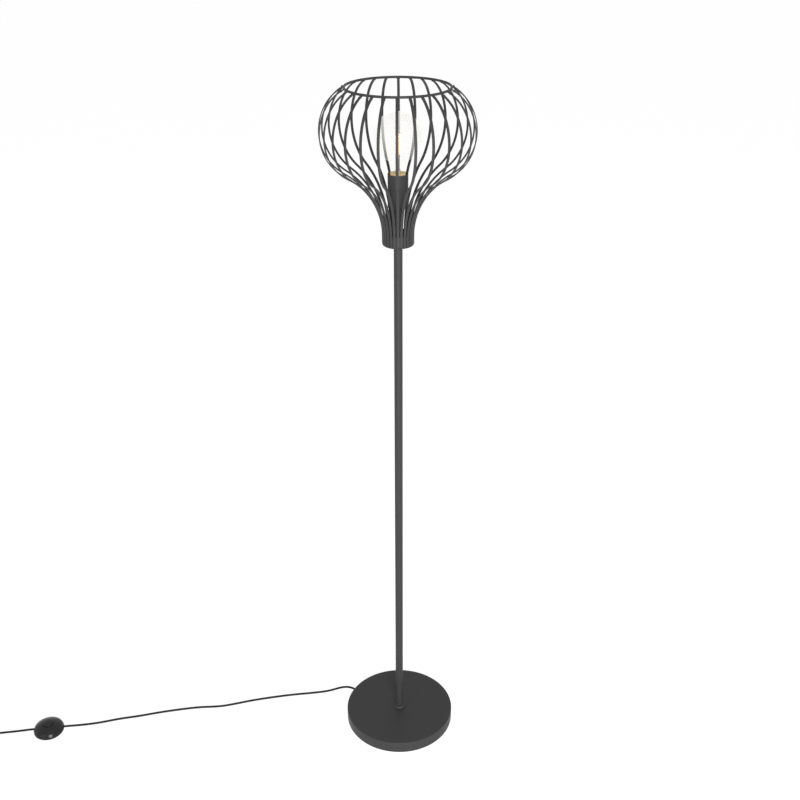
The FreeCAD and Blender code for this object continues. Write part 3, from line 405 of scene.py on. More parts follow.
def wires_metal(net):
    """Nickel wire of the supports, greyed by heat."""
    heat = net.noise(220.0, 2.0, 0.5)
    return net.node("ShaderNodeBsdfPrincipled", inputs={
        "Base Color": net.mix(heat, (0.42, 0.40, 0.38, 1.0), (0.62, 0.60, 0.57, 1.0)),
        "Metallic": 1.0, "Roughness": net.spread(heat, 0.3, 0.7, 0.25, 0.4)})


def strap(net):
    """Woven strap: fine ribs across it."""
    ribs = net.node("ShaderNodeTexWave", {"bands_direction": "DIAGONAL"}, {
        "Vector": net.spot(), "Scale": 520.0, "Distortion": 1.5}, 1)
    return net.node("ShaderNodeBsdfPrincipled", inputs={
        "Base Color": net.mix(ribs, (0.010, 0.010, 0.011, 1.0), (0.030, 0.030, 0.032, 1.0)),
        "Roughness": 0.85, "Normal": net.bump(ribs, 0.0002, 0.7)})


MATERIALS = {
    "powder_black": powder_coat,
    "felt": felt,
    "counterweight": cement,
    "zinc": zinc,
    "holder_plastic": moulding(lambda: colours().holder, 0.22, 0.34, 1500.0, 0.00003),
    "brass": brass,
    "clear_glass": bulb_glass,
    "stem_glass": stem_glass,
    "filament": filament_glow,
    "wires": wires_metal,
    "lead_sheath": moulding(lambda: colours().sheath, 0.46, 0.58, 1200.0, 0.00005, 0.18),
    "bushing_plastic": moulding(lambda: colours().plug, 0.45, 0.60, 1400.0, 0.00005),
    "switch_plastic": moulding(lambda: colours().switch, 0.15, 0.22, 700.0, 0.00002, 0.32),
    "plug_plastic": moulding(lambda: colours().plug, 0.40, 0.55, 1400.0, 0.00006),
    "nickel": nickel,
    "strap": strap,
}


def finish_in(name):
    """The lamp's own material of this name, built once; the frame has plain ones under the bare names."""
    full = "lamp_" + name
    found = bpy.data.materials.get(full)
    if found:
        return found
    material, net = new_material(full)
    surface(net, MATERIALS[name](net))
    return material


# ------------------------------------------------------------------ meshes
def rounded(corners, count=8):
    """An outline whose corners (x, y, radius) are rounded where they have a radius."""
    made = []
    for i, corner in enumerate(corners):
        here = Vector(corner[:2])
        radius = corner[2] if len(corner) > 2 else 0.0
        if radius <= 0.0:
            made.append(tuple(here))
            continue
        before = Vector(corners[i - 1][:2]) - here
        after = Vector(corners[(i + 1) % len(corners)][:2]) - here
        half = before.angle(after) / 2
        reach = radius / math.tan(half)
        centre = here + (before.normalized() + after.normalized()).normalized() * radius / math.sin(half)
        first = here + before.normalized() * reach - centre
        last = here + after.normalized() * reach - centre
        swing = math.atan2(first.x * last.y - first.y * last.x, first.dot(last))
        for k in range(count + 1):
            a = swing * k / count
            made.append((centre.x + first.x * math.cos(a) - first.y * math.sin(a),
                         centre.y + first.x * math.sin(a) + first.y * math.cos(a)))
    return made


def arc_points(centre, radius, start, end, count):
    return [(centre[0] + radius * math.cos(start + (end - start) * k / count),
             centre[1] + radius * math.sin(start + (end - start) * k / count)) for k in range(count + 1)]


def mesh_from(name, build):
    """A mesh filled by build(bm), merged, facing outwards and smooth but for its edges."""
    bm = bmesh.new()
    build(bm)
    bmesh.ops.remove_doubles(bm, verts=bm.verts, dist=1e-7)
    bmesh.ops.recalc_face_normals(bm, faces=bm.faces)
    mesh = bpy.data.meshes.new(name)
    bm.to_mesh(mesh)
    bm.free()
    mesh.shade_smooth()
    mesh.set_sharp_from_angle(angle=SMOOTH_UP_TO)
    return mesh


def add_lathe(bm, outline, steps=96, place=None, ripple=None):
    """Spin a closed outline of (radius, height), in metres, round the Z axis."""
    place = place or Matrix.Identity(4)
    rings = []
    for radius, height in outline:
        if radius < 1e-7:
            rings.append([bm.verts.new(place @ Vector((0.0, 0.0, height)))])
            continue
        ring = []
        for k in range(steps):
            a = 2 * math.pi * k / steps
            r = radius + (ripple(radius, height, a) if ripple else 0.0)
            ring.append(bm.verts.new(place @ Vector((r * math.cos(a), r * math.sin(a), height))))
        rings.append(ring)
    for one, two in zip(rings, rings[1:] + rings[:1]):
        for k in range(steps):
            nxt = (k + 1) % steps
            quad = []
            for ring, step in ((one, k), (one, nxt), (two, nxt), (two, k)):
                vert = ring[step % len(ring)]
                if vert not in quad:
                    quad.append(vert)
            if len(quad) > 2:
                bm.faces.new(quad)


def lathe(name, outline, steps=96, place=None, ripple=None):
    """A piece turned from a closed outline."""
    return piece(name, mesh_from(name, lambda bm: add_lathe(bm, outline, steps, place, ripple)))


def bridge(bm, rings, ends=True):
    """Faces from each ring of corners to the next, and one over each end."""
    for one, two in zip(rings, rings[1:]):
        for i in range(len(one)):
            j = (i + 1) % len(one)
            bm.faces.new((one[i], one[j], two[j], two[i]))
    if ends:
        bm.faces.new(rings[0])
        bm.faces.new(rings[-1])


def mm(points):
    return [tuple(c * MM for c in point) for point in points]


def piece(name, mesh):
    made = bpy.data.objects.new(name, mesh)
    bpy.context.scene.collection.objects.link(made)
    return made


def plain(obj):
    """Keep the object's evaluated mesh as a plain one, with its modifiers gone."""
    bpy.context.view_layer.update()
    graph = bpy.context.evaluated_depsgraph_get()
    mesh = bpy.data.meshes.new_from_object(obj.evaluated_get(graph))
    obj.modifiers.clear()
    old = obj.data
    obj.data = mesh
    if old.users == 0:
        bpy.data.meshes.remove(old)
    mesh.name = obj.name


def cut_away(obj, tools):
    """Take the tools out of the piece, with sharp rims."""
    for tool in tools:
        modifier = obj.modifiers.new("cut", "BOOLEAN")
        modifier.operation, modifier.solver, modifier.object = "DIFFERENCE", "EXACT", tool
    plain(obj)
    obj.data.shade_smooth()
    obj.data.set_sharp_from_angle(angle=math.radians(30.0))
    for tool in tools:
        bpy.data.objects.remove(tool)


def dress(obj, finish, body, *nodes, slot=None):
    """Give a piece its material, its body and the solids that it stands for; the slot argument is not used.
    """
    if len(obj.data.materials) == 0:
        obj.data.materials.append(finish_in(finish))
    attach(obj, body)
    if nodes:
        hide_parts(*nodes)


def keep_node(node, finish):
    """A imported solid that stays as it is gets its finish."""
    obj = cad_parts[node]
    obj.data.materials.clear()
    obj.data.materials.append(finish_in(finish))


def grow(obj, tree, values):
    """Run a Geometry Nodes tree on an object and keep the result as a plain mesh."""
    modifier = obj.modifiers.new(tree.name, "NODES")
    modifier.node_group = tree
    for item in tree.interface.items_tree:
        if item.item_type == "SOCKET" and item.in_out == "INPUT" and item.name in values:
            modifier[item.identifier] = values[item.name]
    plain(obj)


def new_tree(name, inputs):
    """A Geometry Nodes tree with named inputs, and its net and group input."""
    tree = bpy.data.node_groups.new(name, "GeometryNodeTree")
    net = Net(tree)
    tree.interface.new_socket(name="Geometry", in_out="OUTPUT", socket_type="NodeSocketGeometry")
    tree.interface.new_socket(name="Geometry", in_out="INPUT", socket_type="NodeSocketGeometry")
    for label, kind in inputs:
        tree.interface.new_socket(name=label, in_out="INPUT", socket_type="NodeSocket" + kind)
    entry = tree.nodes.new("NodeGroupInput")
    return tree, net, {item.name: Wire(net, item) for item in entry.outputs if item.name}


def end_tree(net, geometry, finish):
    """Every tree ends in real geometry with its material."""
    real = net.node("GeometryNodeRealizeInstances", inputs={"Geometry": geometry})
    smooth = net.node("GeometryNodeSetShadeSmooth", inputs={"Geometry": real})
    done = net.node("GeometryNodeSetMaterial", inputs={"Geometry": smooth, "Material": finish})
    out = net.tree.nodes.new("NodeGroupOutput")
    net.tree.links.new(done.socket, out.inputs[0])


def round_array(net, geometry, count, start):
    """The geometry, repeated evenly round the Z axis."""
    points = net.node("GeometryNodePoints", inputs={"Count": count})
    index = net.node("GeometryNodeInputIndex")
    turn = net.node("FunctionNodeAxisAngleToRotation", inputs={
        "Axis": (0.0, 0.0, 1.0), "Angle": index * (2 * math.pi) / count + start})
    return net.node("GeometryNodeInstanceOnPoints", inputs={
        "Points": points, "Instance": geometry, "Rotation": turn})


# ---------------------------------------------------------------- operators
class CAGELAMP_OT_stage(bpy.types.Operator):
    """Floor, light and the camera at the photograph's place"""

    bl_idname = "cage_lamp.stage"
    bl_label = "Stage"

    def execute(self, context):
        bm = bmesh.new()
        bmesh.ops.create_grid(bm, x_segments=2, y_segments=2, size=24.0)
        mesh = bpy.data.meshes.new("floor")
        bm.to_mesh(mesh)
        bm.free()
        floor = piece("floor", mesh)
        material, net = new_material("pale_floor")
        seen = self.seen_directly(net)
        grain = net.noise(3.0, 3.0, 0.5)
        pale = colours().floor
        tone = net.mix(net.spread(grain, 0.3, 0.7, 0.0, 1.0), rgba(pale, 0.985), rgba(pale))
        bare = net.node("ShaderNodeBsdfDiffuse", inputs={"Color": tone})
        bright = net.node("ShaderNodeAddShader", inputs={
            0: net.node("ShaderNodeBsdfDiffuse", inputs={"Color": (0.36, 0.36, 0.36, 1.0)}),
            1: net.node("ShaderNodeEmission", inputs={"Color": WHITE, "Strength": 0.91})})
        surface(net, net.node("ShaderNodeMixShader", inputs={0: seen, 1: bare, 2: bright}))
        floor.data.materials.append(material)

        world = bpy.data.worlds.new("pale_room")
        context.scene.world = world
        world.use_nodes = True
        net = Net(world.node_tree)
        dim = net.node("ShaderNodeBackground", inputs={"Color": WHITE, "Strength": 0.22})
        white = net.node("ShaderNodeBackground", inputs={"Color": WHITE, "Strength": 1.0})
        surface(net, net.node("ShaderNodeMixShader", inputs={0: self.seen_directly(net), 1: dim, 2: white}),
                "ShaderNodeOutputWorld")

        self.softbox("key", (0.40, -2.70, 1.35), (0.0, 0.0, 0.85), 1.0, 2.0, 76.0)
        self.softbox("fill", (-1.9, -2.2, 1.5), (0.0, 0.0, 0.8), 1.4, 1.8, 6.0)
        context.scene.view_settings.view_transform = "Standard"

        camera = bpy.data.cameras.new("camera")
        camera.sensor_width, camera.lens = SENSOR_WIDTH, FOCAL_PIXELS / PHOTO_PIXELS * SENSOR_WIDTH
        camera.clip_start, camera.clip_end = 0.05, 60.0
        holder = bpy.data.objects.new("camera", camera)
        forward = CAMERA_AHEAD.normalized()
        right = forward.cross(CAMERA_ABOVE).normalized()
        above = right.cross(forward)
        holder.matrix_world = Matrix.Translation(CAMERA_AT * MM) @ Matrix(
            (right, above, -forward)).transposed().to_4x4()
        context.scene.collection.objects.link(holder)
        context.scene.camera = holder
        return {"FINISHED"}

    @staticmethod
    def seen_directly(net):
        """1 for rays from the camera and for those mirrored or let through on their way."""
        path = net.tree.nodes.new("ShaderNodeLightPath")
        rays = [Wire(net, path.outputs[name]) for name in (
            "Is Camera Ray", "Is Glossy Ray", "Is Transmission Ray")]
        return rays[0].maths("MAXIMUM", rays[0], rays[0].maths("MAXIMUM", rays[1], rays[2]))

    @staticmethod
    def softbox(name, place, target, width, height, power):
        light = bpy.data.lights.new(name, "AREA")
        light.shape, light.size, light.size_y, light.energy = "RECTANGLE", width, height, power
        lamp = bpy.data.objects.new(name, light)
        lamp.location = place
        lamp.rotation_euler = (Vector(target) - Vector(place)).to_track_quat("-Z", "Y").to_euler()
        bpy.context.scene.collection.objects.link(lamp)


class CAGELAMP_OT_foot(bpy.types.Operator):
    """Round foot: the coated cover with its lead hole, the collar and the hidden parts"""

    bl_idname = "cage_lamp.foot"
    bl_label = "Foot"

    def execute(self, context):
        s = sizes()
        low, top = FOOT[0].z, FOOT[1].z
        inside = s.base_radius - s.cover_wall
        cover = lathe("foot_cover", rounded([
            (BORE, top - s.cover_wall), (inside, top - s.cover_wall, 0.0008), (inside, low, 0.0003),
            (s.base_radius, low, 0.0004), (s.base_radius, top, s.base_rounding), (BORE, top)]), 192)
        hole = lathe("hole", mm([(0, 118), (4.3, 118), (4.3, 136), (0, 136)]), 48, EXIT_FRAME)
        cut_away(cover, [hole])
        dress(cover, "powder_black", "lamp", "base_shell")

        low, top = COLLAR[0].z, COLLAR[1].z
        reach = COLLAR[1].x
        collar = lathe("collar", rounded([
            (BORE, low), (reach, low, 0.0003), (reach, top, s.collar_rounding), (BORE, top)], 12), 96)
        dress(collar, "powder_black", "lamp", "foot_collar")

        nose = lathe("lead_bushing", rounded(mm([
            (2.7, 125.3), (5.5, 125.3), (5.5, 127.1), (4.2, 127.1), (4.2, 128.5), (5.5, 128.5),
            (5.5, 130.3, 0.7), (4.3, 130.3, 0.3), (4.15, 131.2, 0.1), (3.95, 131.5, 0.1), (4.05, 132.2, 0.1),
            (3.85, 132.5, 0.1), (3.9, 133.4, 0.1), (3.7, 133.7, 0.1), (3.7, 135.5, 0.6), (2.7, 135.5)]), 4),
            64, EXIT_FRAME)
        dress(nose, "bushing_plastic", "lamp", "cord_bushing")

        keep_node("base_pad", "felt")
        keep_node("base_weight", "counterweight")
        for node in ("base_nut", "foot_rod"):
            keep_node(node, "zinc")
        keep_node("inner_cable", "lead_sheath")
        return {"FINISHED"}


class CAGELAMP_OT_pole(bpy.types.Operator):
    """The pole's two tubes with their fine seam"""

    bl_idname = "cage_lamp.pole"
    bl_label = "Pole"

    def execute(self, context):
        s = sizes()
        for end, box in (("lower", LOWER), ("upper", UPPER)):
            made = tube("pole_tube_" + end, box[0].z, box[1].z, s.pole_radius, s.pole_chamfer)
            dress(made, "powder_black", "lamp", "pole_" + end)
        keep_node("pole_coupler", "zinc")
        return {"FINISHED"}


def tube(name, low, top, radius, chamfer):
    """A tube with bushed, finely chamfered ends."""
    inside = radius - TUBE_WALL
    outline = [(BORE, low), (radius - chamfer, low), (radius, low + chamfer), (radius, top - chamfer),
               (radius - chamfer, top), (BORE, top), (BORE, top - BUSH_LENGTH), (inside, top - BUSH_LENGTH),
               (inside, low + BUSH_LENGTH), (BORE, low + BUSH_LENGTH)]
    return lathe(name, outline, 72)


class CAGELAMP_OT_cage(bpy.types.Operator):
    """The cage: strips swept along their bent line and set round the top ring, and the neck cup"""

    bl_idname = "cage_lamp.cage"
    bl_label = "Cage"

    def execute(self, context):
        s = sizes()
        line = self.strip_line()
        mesh = bpy.data.meshes.new("strip_line")
        mesh.from_pydata(line, [(k, k + 1) for k in range(len(line) - 1)], [])
        strips = piece("cage_strips", mesh)
        grow(strips, self.strip_tree(), {
            "Strips": s.strip_count, "Width": s.strip_width, "Thickness": s.strip_thickness,
            "Edge": s.strip_edge, "Weld": s.weld_radius, "Weld place": tuple(line[2]),
            "Finish": finish_in("powder_black")})
        strips.data.set_sharp_from_angle(angle=math.radians(50.0))
        if len(strips.data.polygons) < 1000:
            raise RuntimeError("the cage's strips have not grown")
        dress(strips, "powder_black", "lamp",
              *["rib_%02d" % (k + 1) for k in range(s.strip_count)])

        height = (RING[0].z + RING[1].z) / 2
        wire = arc_points((s.ring_radius, height), s.ring_wire / 2, 0.0, 2 * math.pi, 20)[:-1]
        dress(lathe("top_ring", wire, 240), "powder_black", "lamp", "cage_ring")

        low, top, reach = CUP[0].z, CUP[1].z, CUP[1].x
        inside = reach - CUP_WALL
        cup = lathe("neck_cup", rounded([
            (BORE, low), (reach, low, 0.003), (reach, top, 0.0004), (inside, top, 0.0004),
            (inside, low + CUP_WALL, 0.0018), (BORE, low + CUP_WALL)], 8), 128)
        dress(cup, "powder_black", "lamp", "cage_cup")
        return {"FINISHED"}

    @staticmethod
    def strip_line():
        """Middle line of one strip, from the ring to its end under the cup, at azimuth zero."""
        ring, widest, neck = sizes().ring_radius / MM, 149.0, 30.8
        drop, whole_drop = 83.0, 285.0
        start, first, hollow = math.radians(65.0), 81.0, 91.5
        upright, foot_bend, foot_reach = 14.2, 4.0, 2.0
        across = widest - ring + first * math.cos(start)
        down = drop - first * math.sin(start)
        second = (across ** 2 + down ** 2 - first ** 2) / (2 * (across - first))
        middle = math.atan2(down / (second - first), (second - across) / (second - first))
        swing = 2 * math.atan2(widest - neck, whole_drop - drop)
        lower = (whole_drop - drop) / math.sin(swing) - hollow
        # each step: how far the line turns, or None where it runs straight, and its radius or length
        steps = [(middle - start, first), (-middle, second), (-swing, hollow), (swing, lower),
                 (None, upright), (-math.pi / 2, foot_bend), (None, foot_reach)]
        x, z, heading = ring, (RING[0].z + RING[1].z) / 2 / MM, start
        line = [(x * MM, 0.0, z * MM)]
        for turn, size in steps:
            if turn is None:
                x, z = x + size * math.sin(heading), z - size * math.cos(heading)
                line.append((x * MM, 0.0, z * MM))
                continue
            count = max(6, int(abs(math.degrees(turn)) / 2.6))
            sign = math.copysign(1.0, turn)
            cx, cz = x + sign * size * math.cos(heading), z + sign * size * math.sin(heading)
            for k in range(1, count + 1):
                a = heading + turn * k / count
                line.append(((cx - sign * size * math.cos(a)) * MM, 0.0,
                             (cz - sign * size * math.sin(a)) * MM))
            heading += turn
            x, z = line[-1][0] / MM, line[-1][2] / MM
        return line

    @staticmethod
    def strip_tree():
        """Sweeps a strip's rounded section along its line, adds its weld and sets it round the cage."""
        tree, net, given = new_tree("cage_strip_tree", [
            ("Strips", "Int"), ("Width", "Float"), ("Thickness", "Float"), ("Edge", "Float"),
            ("Weld", "Float"), ("Weld place", "Vector"), ("Finish", "Material")])
        line = net.node("GeometryNodeMeshToCurve", inputs={"Mesh": given["Geometry"]})
        line = net.node("GeometryNodeSetCurveNormal", {"mode": "FREE"}, {
            "Curve": line, "Normal": (0.0, 1.0, 0.0)})
        section = net.node("GeometryNodeCurvePrimitiveQuadrilateral", inputs={
            "Width": given["Width"], "Height": given["Thickness"]})
        section = net.node("GeometryNodeFilletCurve", {"mode": "POLY"}, {
            "Curve": section, "Count": 2, "Radius": given["Edge"]})
        strip = net.node("GeometryNodeCurveToMesh", inputs={
            "Curve": line, "Profile Curve": section, "Fill Caps": True})
        ball = net.node("GeometryNodeMeshUVSphere", inputs={
            "Segments": 14, "Rings": 9, "Radius": given["Weld"]})
        weld = net.node("GeometryNodeTransform", inputs={
            "Geometry": ball, "Translation": given["Weld place"], "Scale": (0.9, 1.15, 0.8)})
        both = net.tree.nodes.new("GeometryNodeJoinGeometry")
        for part in (weld, strip):
            net.tree.links.new(part.socket, both.inputs[0])
        cage = round_array(net, Wire(net, both.outputs[0]), given["Strips"], -math.pi / 2)
        end_tree(net, cage, given["Finish"])
        return tree


class CAGELAMP_OT_lampholder(bpy.types.Operator):
    """Tube, sleeve, moulded insert and thread shell of the lampholder"""

    bl_idname = "cage_lamp.lampholder"
    bl_label = "Lampholder"

    def execute(self, context):
        s = sizes()
        pipe = tube("neck_pipe", NECK[0].z, NECK[1].z, s.pole_radius, s.pole_chamfer)
        dress(pipe, "powder_black", "lamp", "neck_tube")

        low, top, reach, wall = SLEEVE[0].z, SLEEVE[1].z, SLEEVE[1].x, s.sleeve_wall
        sleeve = lathe("holder_cover", rounded([
            (BORE, low), (reach, low, 0.0018), (reach, top, 0.00035), (reach - wall, top, 0.00035),
            (reach - wall, low + wall, 0.0009), (BORE, low + wall)], 6), 128)
        dress(sleeve, "powder_black", "lamp", "holder_sleeve")

        insert = lathe("holder_body", rounded(mm([
            (5.1, 1297.9), (18.05, 1297.9), (18.95, 1298.8), (18.95, 1359.5, 0.8), (15.6, 1359.5, 0.5),
            (15.4, 1358.9, 0.2), (14.05, 1358.9, 0.2), (14.05, 1333.0), (3.0, 1333.0, 0.2),
            (3.0, 1334.6, 0.3), (0, 1334.6), (0, 1308.9), (5.1, 1308.9)]), 4), 96)
        dress(insert, "holder_plastic", "lamp", "holder_insert")

        def rolled(radius, height, angle):
            if not 1334.0 * MM < height < 1358.0 * MM:
                return 0.0
            return 0.00018 * math.sin(2 * math.pi * height / s.thread_pitch - angle)

        rows = [1333.0 + 0.5 * k for k in range(53)]
        shell = lathe("thread_shell", mm([(13.62, z) for z in rows] + [(13.9, z) for z in reversed(rows)]),
                      48, ripple=rolled)
        dress(shell, "brass", "lamp", "holder_shell")
        keep_node("holder_rod", "zinc")
        return {"FINISHED"}


class CAGELAMP_OT_bulb(bpy.types.Operator):
    """Clear globe bulb: cap with its thread, glass, stem, support wires and filaments"""

    bl_idname = "cage_lamp.bulb"
    bl_label = "Bulb"

    def execute(self, context):
        s = sizes()
        self.cap(s)
        self.globe(s)
        self.stem()
        self.filaments(s)
        return {"FINISHED"}

    def cap(self, s):
        low, top = CAP[0].z / MM, CAP[1].z / MM
        first, last = low + 6.5, top - 2.0

        def rolled(radius, height, angle):
            z = height / MM
            if radius < 0.012 or not first < z < last:
                return 0.0
            ease = min(1.0, (z - first) / 2.5, (last - z) / 1.5)
            return 0.00038 * ease * math.sin(2 * math.pi * height / s.thread_pitch - angle)

        rows = [first + (last - first) * k / 56 for k in range(57)]
        outline = [(0, low), (3.6, low), (4.5, low + 0.5), (5.2, low + 1.2), (10.4, low + 4.6),
                   (12.0, low + 5.4), (12.7, low + 6.2)]
        outline += [(12.7, z) for z in rows] + [
            (12.75, top - 1.2), (13.2, top - 0.9), (14.3, top - 0.75), (14.5, top - 0.5), (14.3, top - 0.25),
            (13.1, top), (12.3, top), (12.3, low + 7.4), (0, low + 7.4)]
        dress(lathe("cap_brass", mm(outline), 96, ripple=rolled), "brass",
              "cap", "bulb_cap")

    def globe(self, s):
        top, lip, neck, hollow = CAP[1].z / MM, 13.1, 15.0, 14.0
        ball, wall, tail = s.globe_radius / MM, s.glass_wall / MM, 12.2
        corner = neck - lip
        low, high = top + corner, top + corner + s.neck_length / MM
        bend = (neck + hollow, high)
        centre = (0.0, high + math.sqrt((ball + hollow) ** 2 - (neck + hollow) ** 2))
        lean = math.atan2(bend[1] - centre[1], bend[0])
        outside = arc_points(centre, ball, math.pi / 2, lean, 64) + \
            arc_points(bend, hollow, math.pi + lean, math.pi, 12)[1:] + \
            arc_points((lip, low), corner, 0.0, -math.pi / 2, 6) + [(tail, top), (tail, top - 6.0)]
        inside = [(tail - wall, top - 6.0), (tail - wall, top + wall)] + \
            arc_points((lip, low), corner - wall, -math.pi / 2, 0.0, 6) + \
            arc_points(bend, hollow + wall, math.pi, math.pi + lean, 12)[:-1] + \
            arc_points(centre, ball - wall, lean, math.pi / 2, 64)
        outside[0], inside[-1] = (0.0, centre[1] + ball), (0.0, centre[1] + ball - wall)
        dress(lathe("globe", mm(outside + inside), 128), "clear_glass",
              "glass", "bulb_glass")

    def stem(self):
        outline = [(0, 1353.2), (12.2, 1353.2), (12.2, 1354.6), (10.4, 1355.6), (8.6, 1358.0), (7.2, 1362.0),
                   (6.0, 1367.0), (4.9, 1371.0), (3.7, 1374.4), (2.7, 1377.0), (2.2, 1381.0), (2.0, 1396.0),
                   (2.2, 1400.0), (2.9, 1401.2), (2.9, 1402.4), (2.1, 1403.8), (1.9, 1420.0), (2.0, 1436.0),
                   (2.8, 1438.4), (2.8, 1439.6), (2.0, 1440.7), (0, 1440.7)]
        dress(lathe("stem", mm(outline), 48), "stem_glass", "cap", "bulb_stem",
              slot="clear_glass")

    def filaments(self, s):
        """One glowing rod with its clips and bent wire, repeated round the stem."""
        circle, low, high = 5.5, 1401.9, 1439.9
        rod_outline = [(0, low), (0.6, low), (s.filament_radius / MM, low + 0.5),
                       (s.filament_radius / MM, high - 0.5), (0.6, high), (0, high)]
        glow = lathe("filament_rods", mm(rod_outline), 16, Matrix.Translation((circle * MM, 0, 0)))
        tree, net, given = new_tree("filament_tree", [("Count", "Int"), ("Finish", "Material")])
        end_tree(net, round_array(net, given["Geometry"], given["Count"], math.pi / 4), given["Finish"])
        grow(glow, tree, {"Count": s.filament_count, "Finish": finish_in("filament")})
        dress(glow, "filament", "cap", "bulb_filament")

        def supports(bm):
            for bottom, rise in ((low, -1.0), (high, 1.0)):
                clip = [(0, bottom - 0.8), (1.05, bottom - 0.8), (1.05, bottom + 0.6), (0, bottom + 0.6)]
                add_lathe(bm, mm(clip), 12, Matrix.Translation((circle * MM, 0, 0)))
                path = [Vector((2.4, 0, bottom + rise * 0.3)), Vector((3.2, 0, bottom + rise * 0.7)),
                        Vector((4.4, 0, bottom + rise * 0.75)), Vector((circle, 0, bottom + rise * 0.5))]
                add_tube(bm, [p * MM for p in path], 0.00028, 8)
            path = [Vector((2.0, 0, 1372.0)), Vector((3.6, 0, 1378.0)), Vector((4.6, 0, 1388.0)),
                    Vector((5.2, 0, 1398.0)), Vector((circle, 0, low - 0.4))]
            add_tube(bm, [p * MM for p in path], 0.00028, 8)

        wires = piece("filament_wires", mesh_from("filament_wires", supports))
        grow(wires, tree, {"Count": s.filament_count, "Finish": finish_in("wires")})
        dress(wires, "wires", "cap", slot="filament")


def add_tube(bm, path, radius, sides):
    """A thin tube along a few points, closed at both ends."""
    rings = []
    for k, point in enumerate(path):
        ahead = (path[min(k + 1, len(path) - 1)] - path[max(k - 1, 0)]).normalized()
        across = ahead.cross(Vector((0.0, 1.0, 0.0))).normalized()
        up = across.cross(ahead)
        rings.append([bm.verts.new(point + radius * (across * math.cos(a) + up * math.sin(a)))
                      for a in (2 * math.pi * i / sides for i in range(sides))])
    bridge(bm, rings)


# ------------------------------------------------------------ lead and plug
EXIT_ANGLE = math.radians(145.0)
OUTWARD = Vector((math.cos(EXIT_ANGLE), math.sin(EXIT_ANGLE), 0.0))
EXIT_FRAME = Matrix.Translation((0.0, 0.0, 0.007)) @ OUTWARD.to_track_quat("Z", "Y").to_matrix().to_4x4()
SEAM_HEIGHT = 7.0       # of the switch's seam and of the foot's lead hole, where the lead passes
ON_FLOOR = 2.62         # height of the lead's middle line where it lies on the floor
LEAD_WIDTH = 5.2
COIL_RADIUS = 37.2      # of the outer turn, to the lead's middle line
COIL_STEP = 2.9         # by which the coil narrows or widens in each half turn
COIL_RISE = 5.8         # from the lower layer to the upper one
TURN_POINTS = 16
SWITCH_AT = Vector((-857.5, -61.0, 0.0))
SWITCH_TURN = math.radians(8.0)
SWITCH_FRAME = Matrix.Translation(SWITCH_AT * MM) @ Matrix.Rotation(SWITCH_TURN, 4, "Z")
ALONG = Vector((math.cos(SWITCH_TURN), math.sin(SWITCH_TURN), 0.0))
PLUG_TURN = math.radians(203.0)
PLUG_AT = Vector((-1102.0, -101.0, 6.8))
PLUG_FRAME = Matrix.Translation(PLUG_AT * MM) @ Matrix.Rotation(PLUG_TURN, 4, "Z")
PLUG_AXIS = PLUG_FRAME @ Matrix.Rotation(math.pi / 2, 4, "Y")


def lead_to_switch():
    """Route of the lead from the foot to the switch, in millimetres."""
    nose = OUTWARD * 135.5 + UP * SEAM_HEIGHT
    seam = SWITCH_AT + UP * SEAM_HEIGHT
    floor = [(-181.0, 77.4), (-221.0, 70.2), (-268.0, 64.2), (-321.0, 54.2), (-374.0, 41.9), (-419.0, 28.0),
             (-452.0, 19.6), (-503.0, 17.2), (-556.0, 7.6), (-601.0, -2.4), (-646.0, -14.9), (-694.0, -24.6),
             (-738.0, -38.2)]
    return [nose, nose + OUTWARD * 18.5, Vector((-150.0, 90.6, 3.7))] + \
        [Vector((x, y, ON_FLOOR)) for x, y in floor] + \
        [Vector((-778.0, -46.9, 3.4)), seam + ALONG * 42.0, seam + ALONG * 20.0]


def lead_to_plug():
    """Route from the switch through the stored coil to the plug, in millimetres."""
    seam = SWITCH_AT + UP * SEAM_HEIGHT
    heading = math.radians(188.5)
    ahead = Vector((math.cos(heading), math.sin(heading), 0.0))
    left = Vector((-ahead.y, ahead.x, 0.0))
    begin = Vector((-1018.0, -82.2, ON_FLOOR))
    points = [seam - ALONG * 20.0, seam - ALONG * 42.0, Vector((-931.0, -69.3, 3.4)),
              Vector((-970.0, -74.1, ON_FLOOR)), begin - ahead * 18.0, begin]
    # five turns: inwards on the floor, one half turn up, outwards on top
    centre = begin + ahead * LEAD_WIDTH + left * COIL_RADIUS
    step = 2 * math.pi / TURN_POINTS
    for k in range(5 * TURN_POINTS):
        angle = (k + 0.5) * step
        halves = angle / math.pi
        climb = min(max(halves - 5.0, 0.0), 1.0)
        radius = COIL_RADIUS - COIL_STEP * min(halves, 5.0) + COIL_STEP * max(halves - 6.0, 0.0)
        radius -= COIL_STEP / 2 * math.sin(math.pi * climb)
        rise = COIL_RISE * climb * climb * (3 - 2 * climb)
        away = ahead * math.sin(angle) - left * math.cos(angle)
        points.append(centre + away * radius / math.cos(step / 2) + UP * rise)
    leave = centre - left * (COIL_RADIUS - COIL_STEP) + ahead * LEAD_WIDTH + UP * COIL_RISE
    forward = Vector((math.cos(PLUG_TURN), math.sin(PLUG_TURN), 0.0))
    return points + [leave, leave + ahead * 20.0, Vector((-1067.0, -90.3, 6.9)),
                     Vector((-1085.5, -94.6, 6.1)), PLUG_AT - forward, PLUG_AT + forward * 10.0]


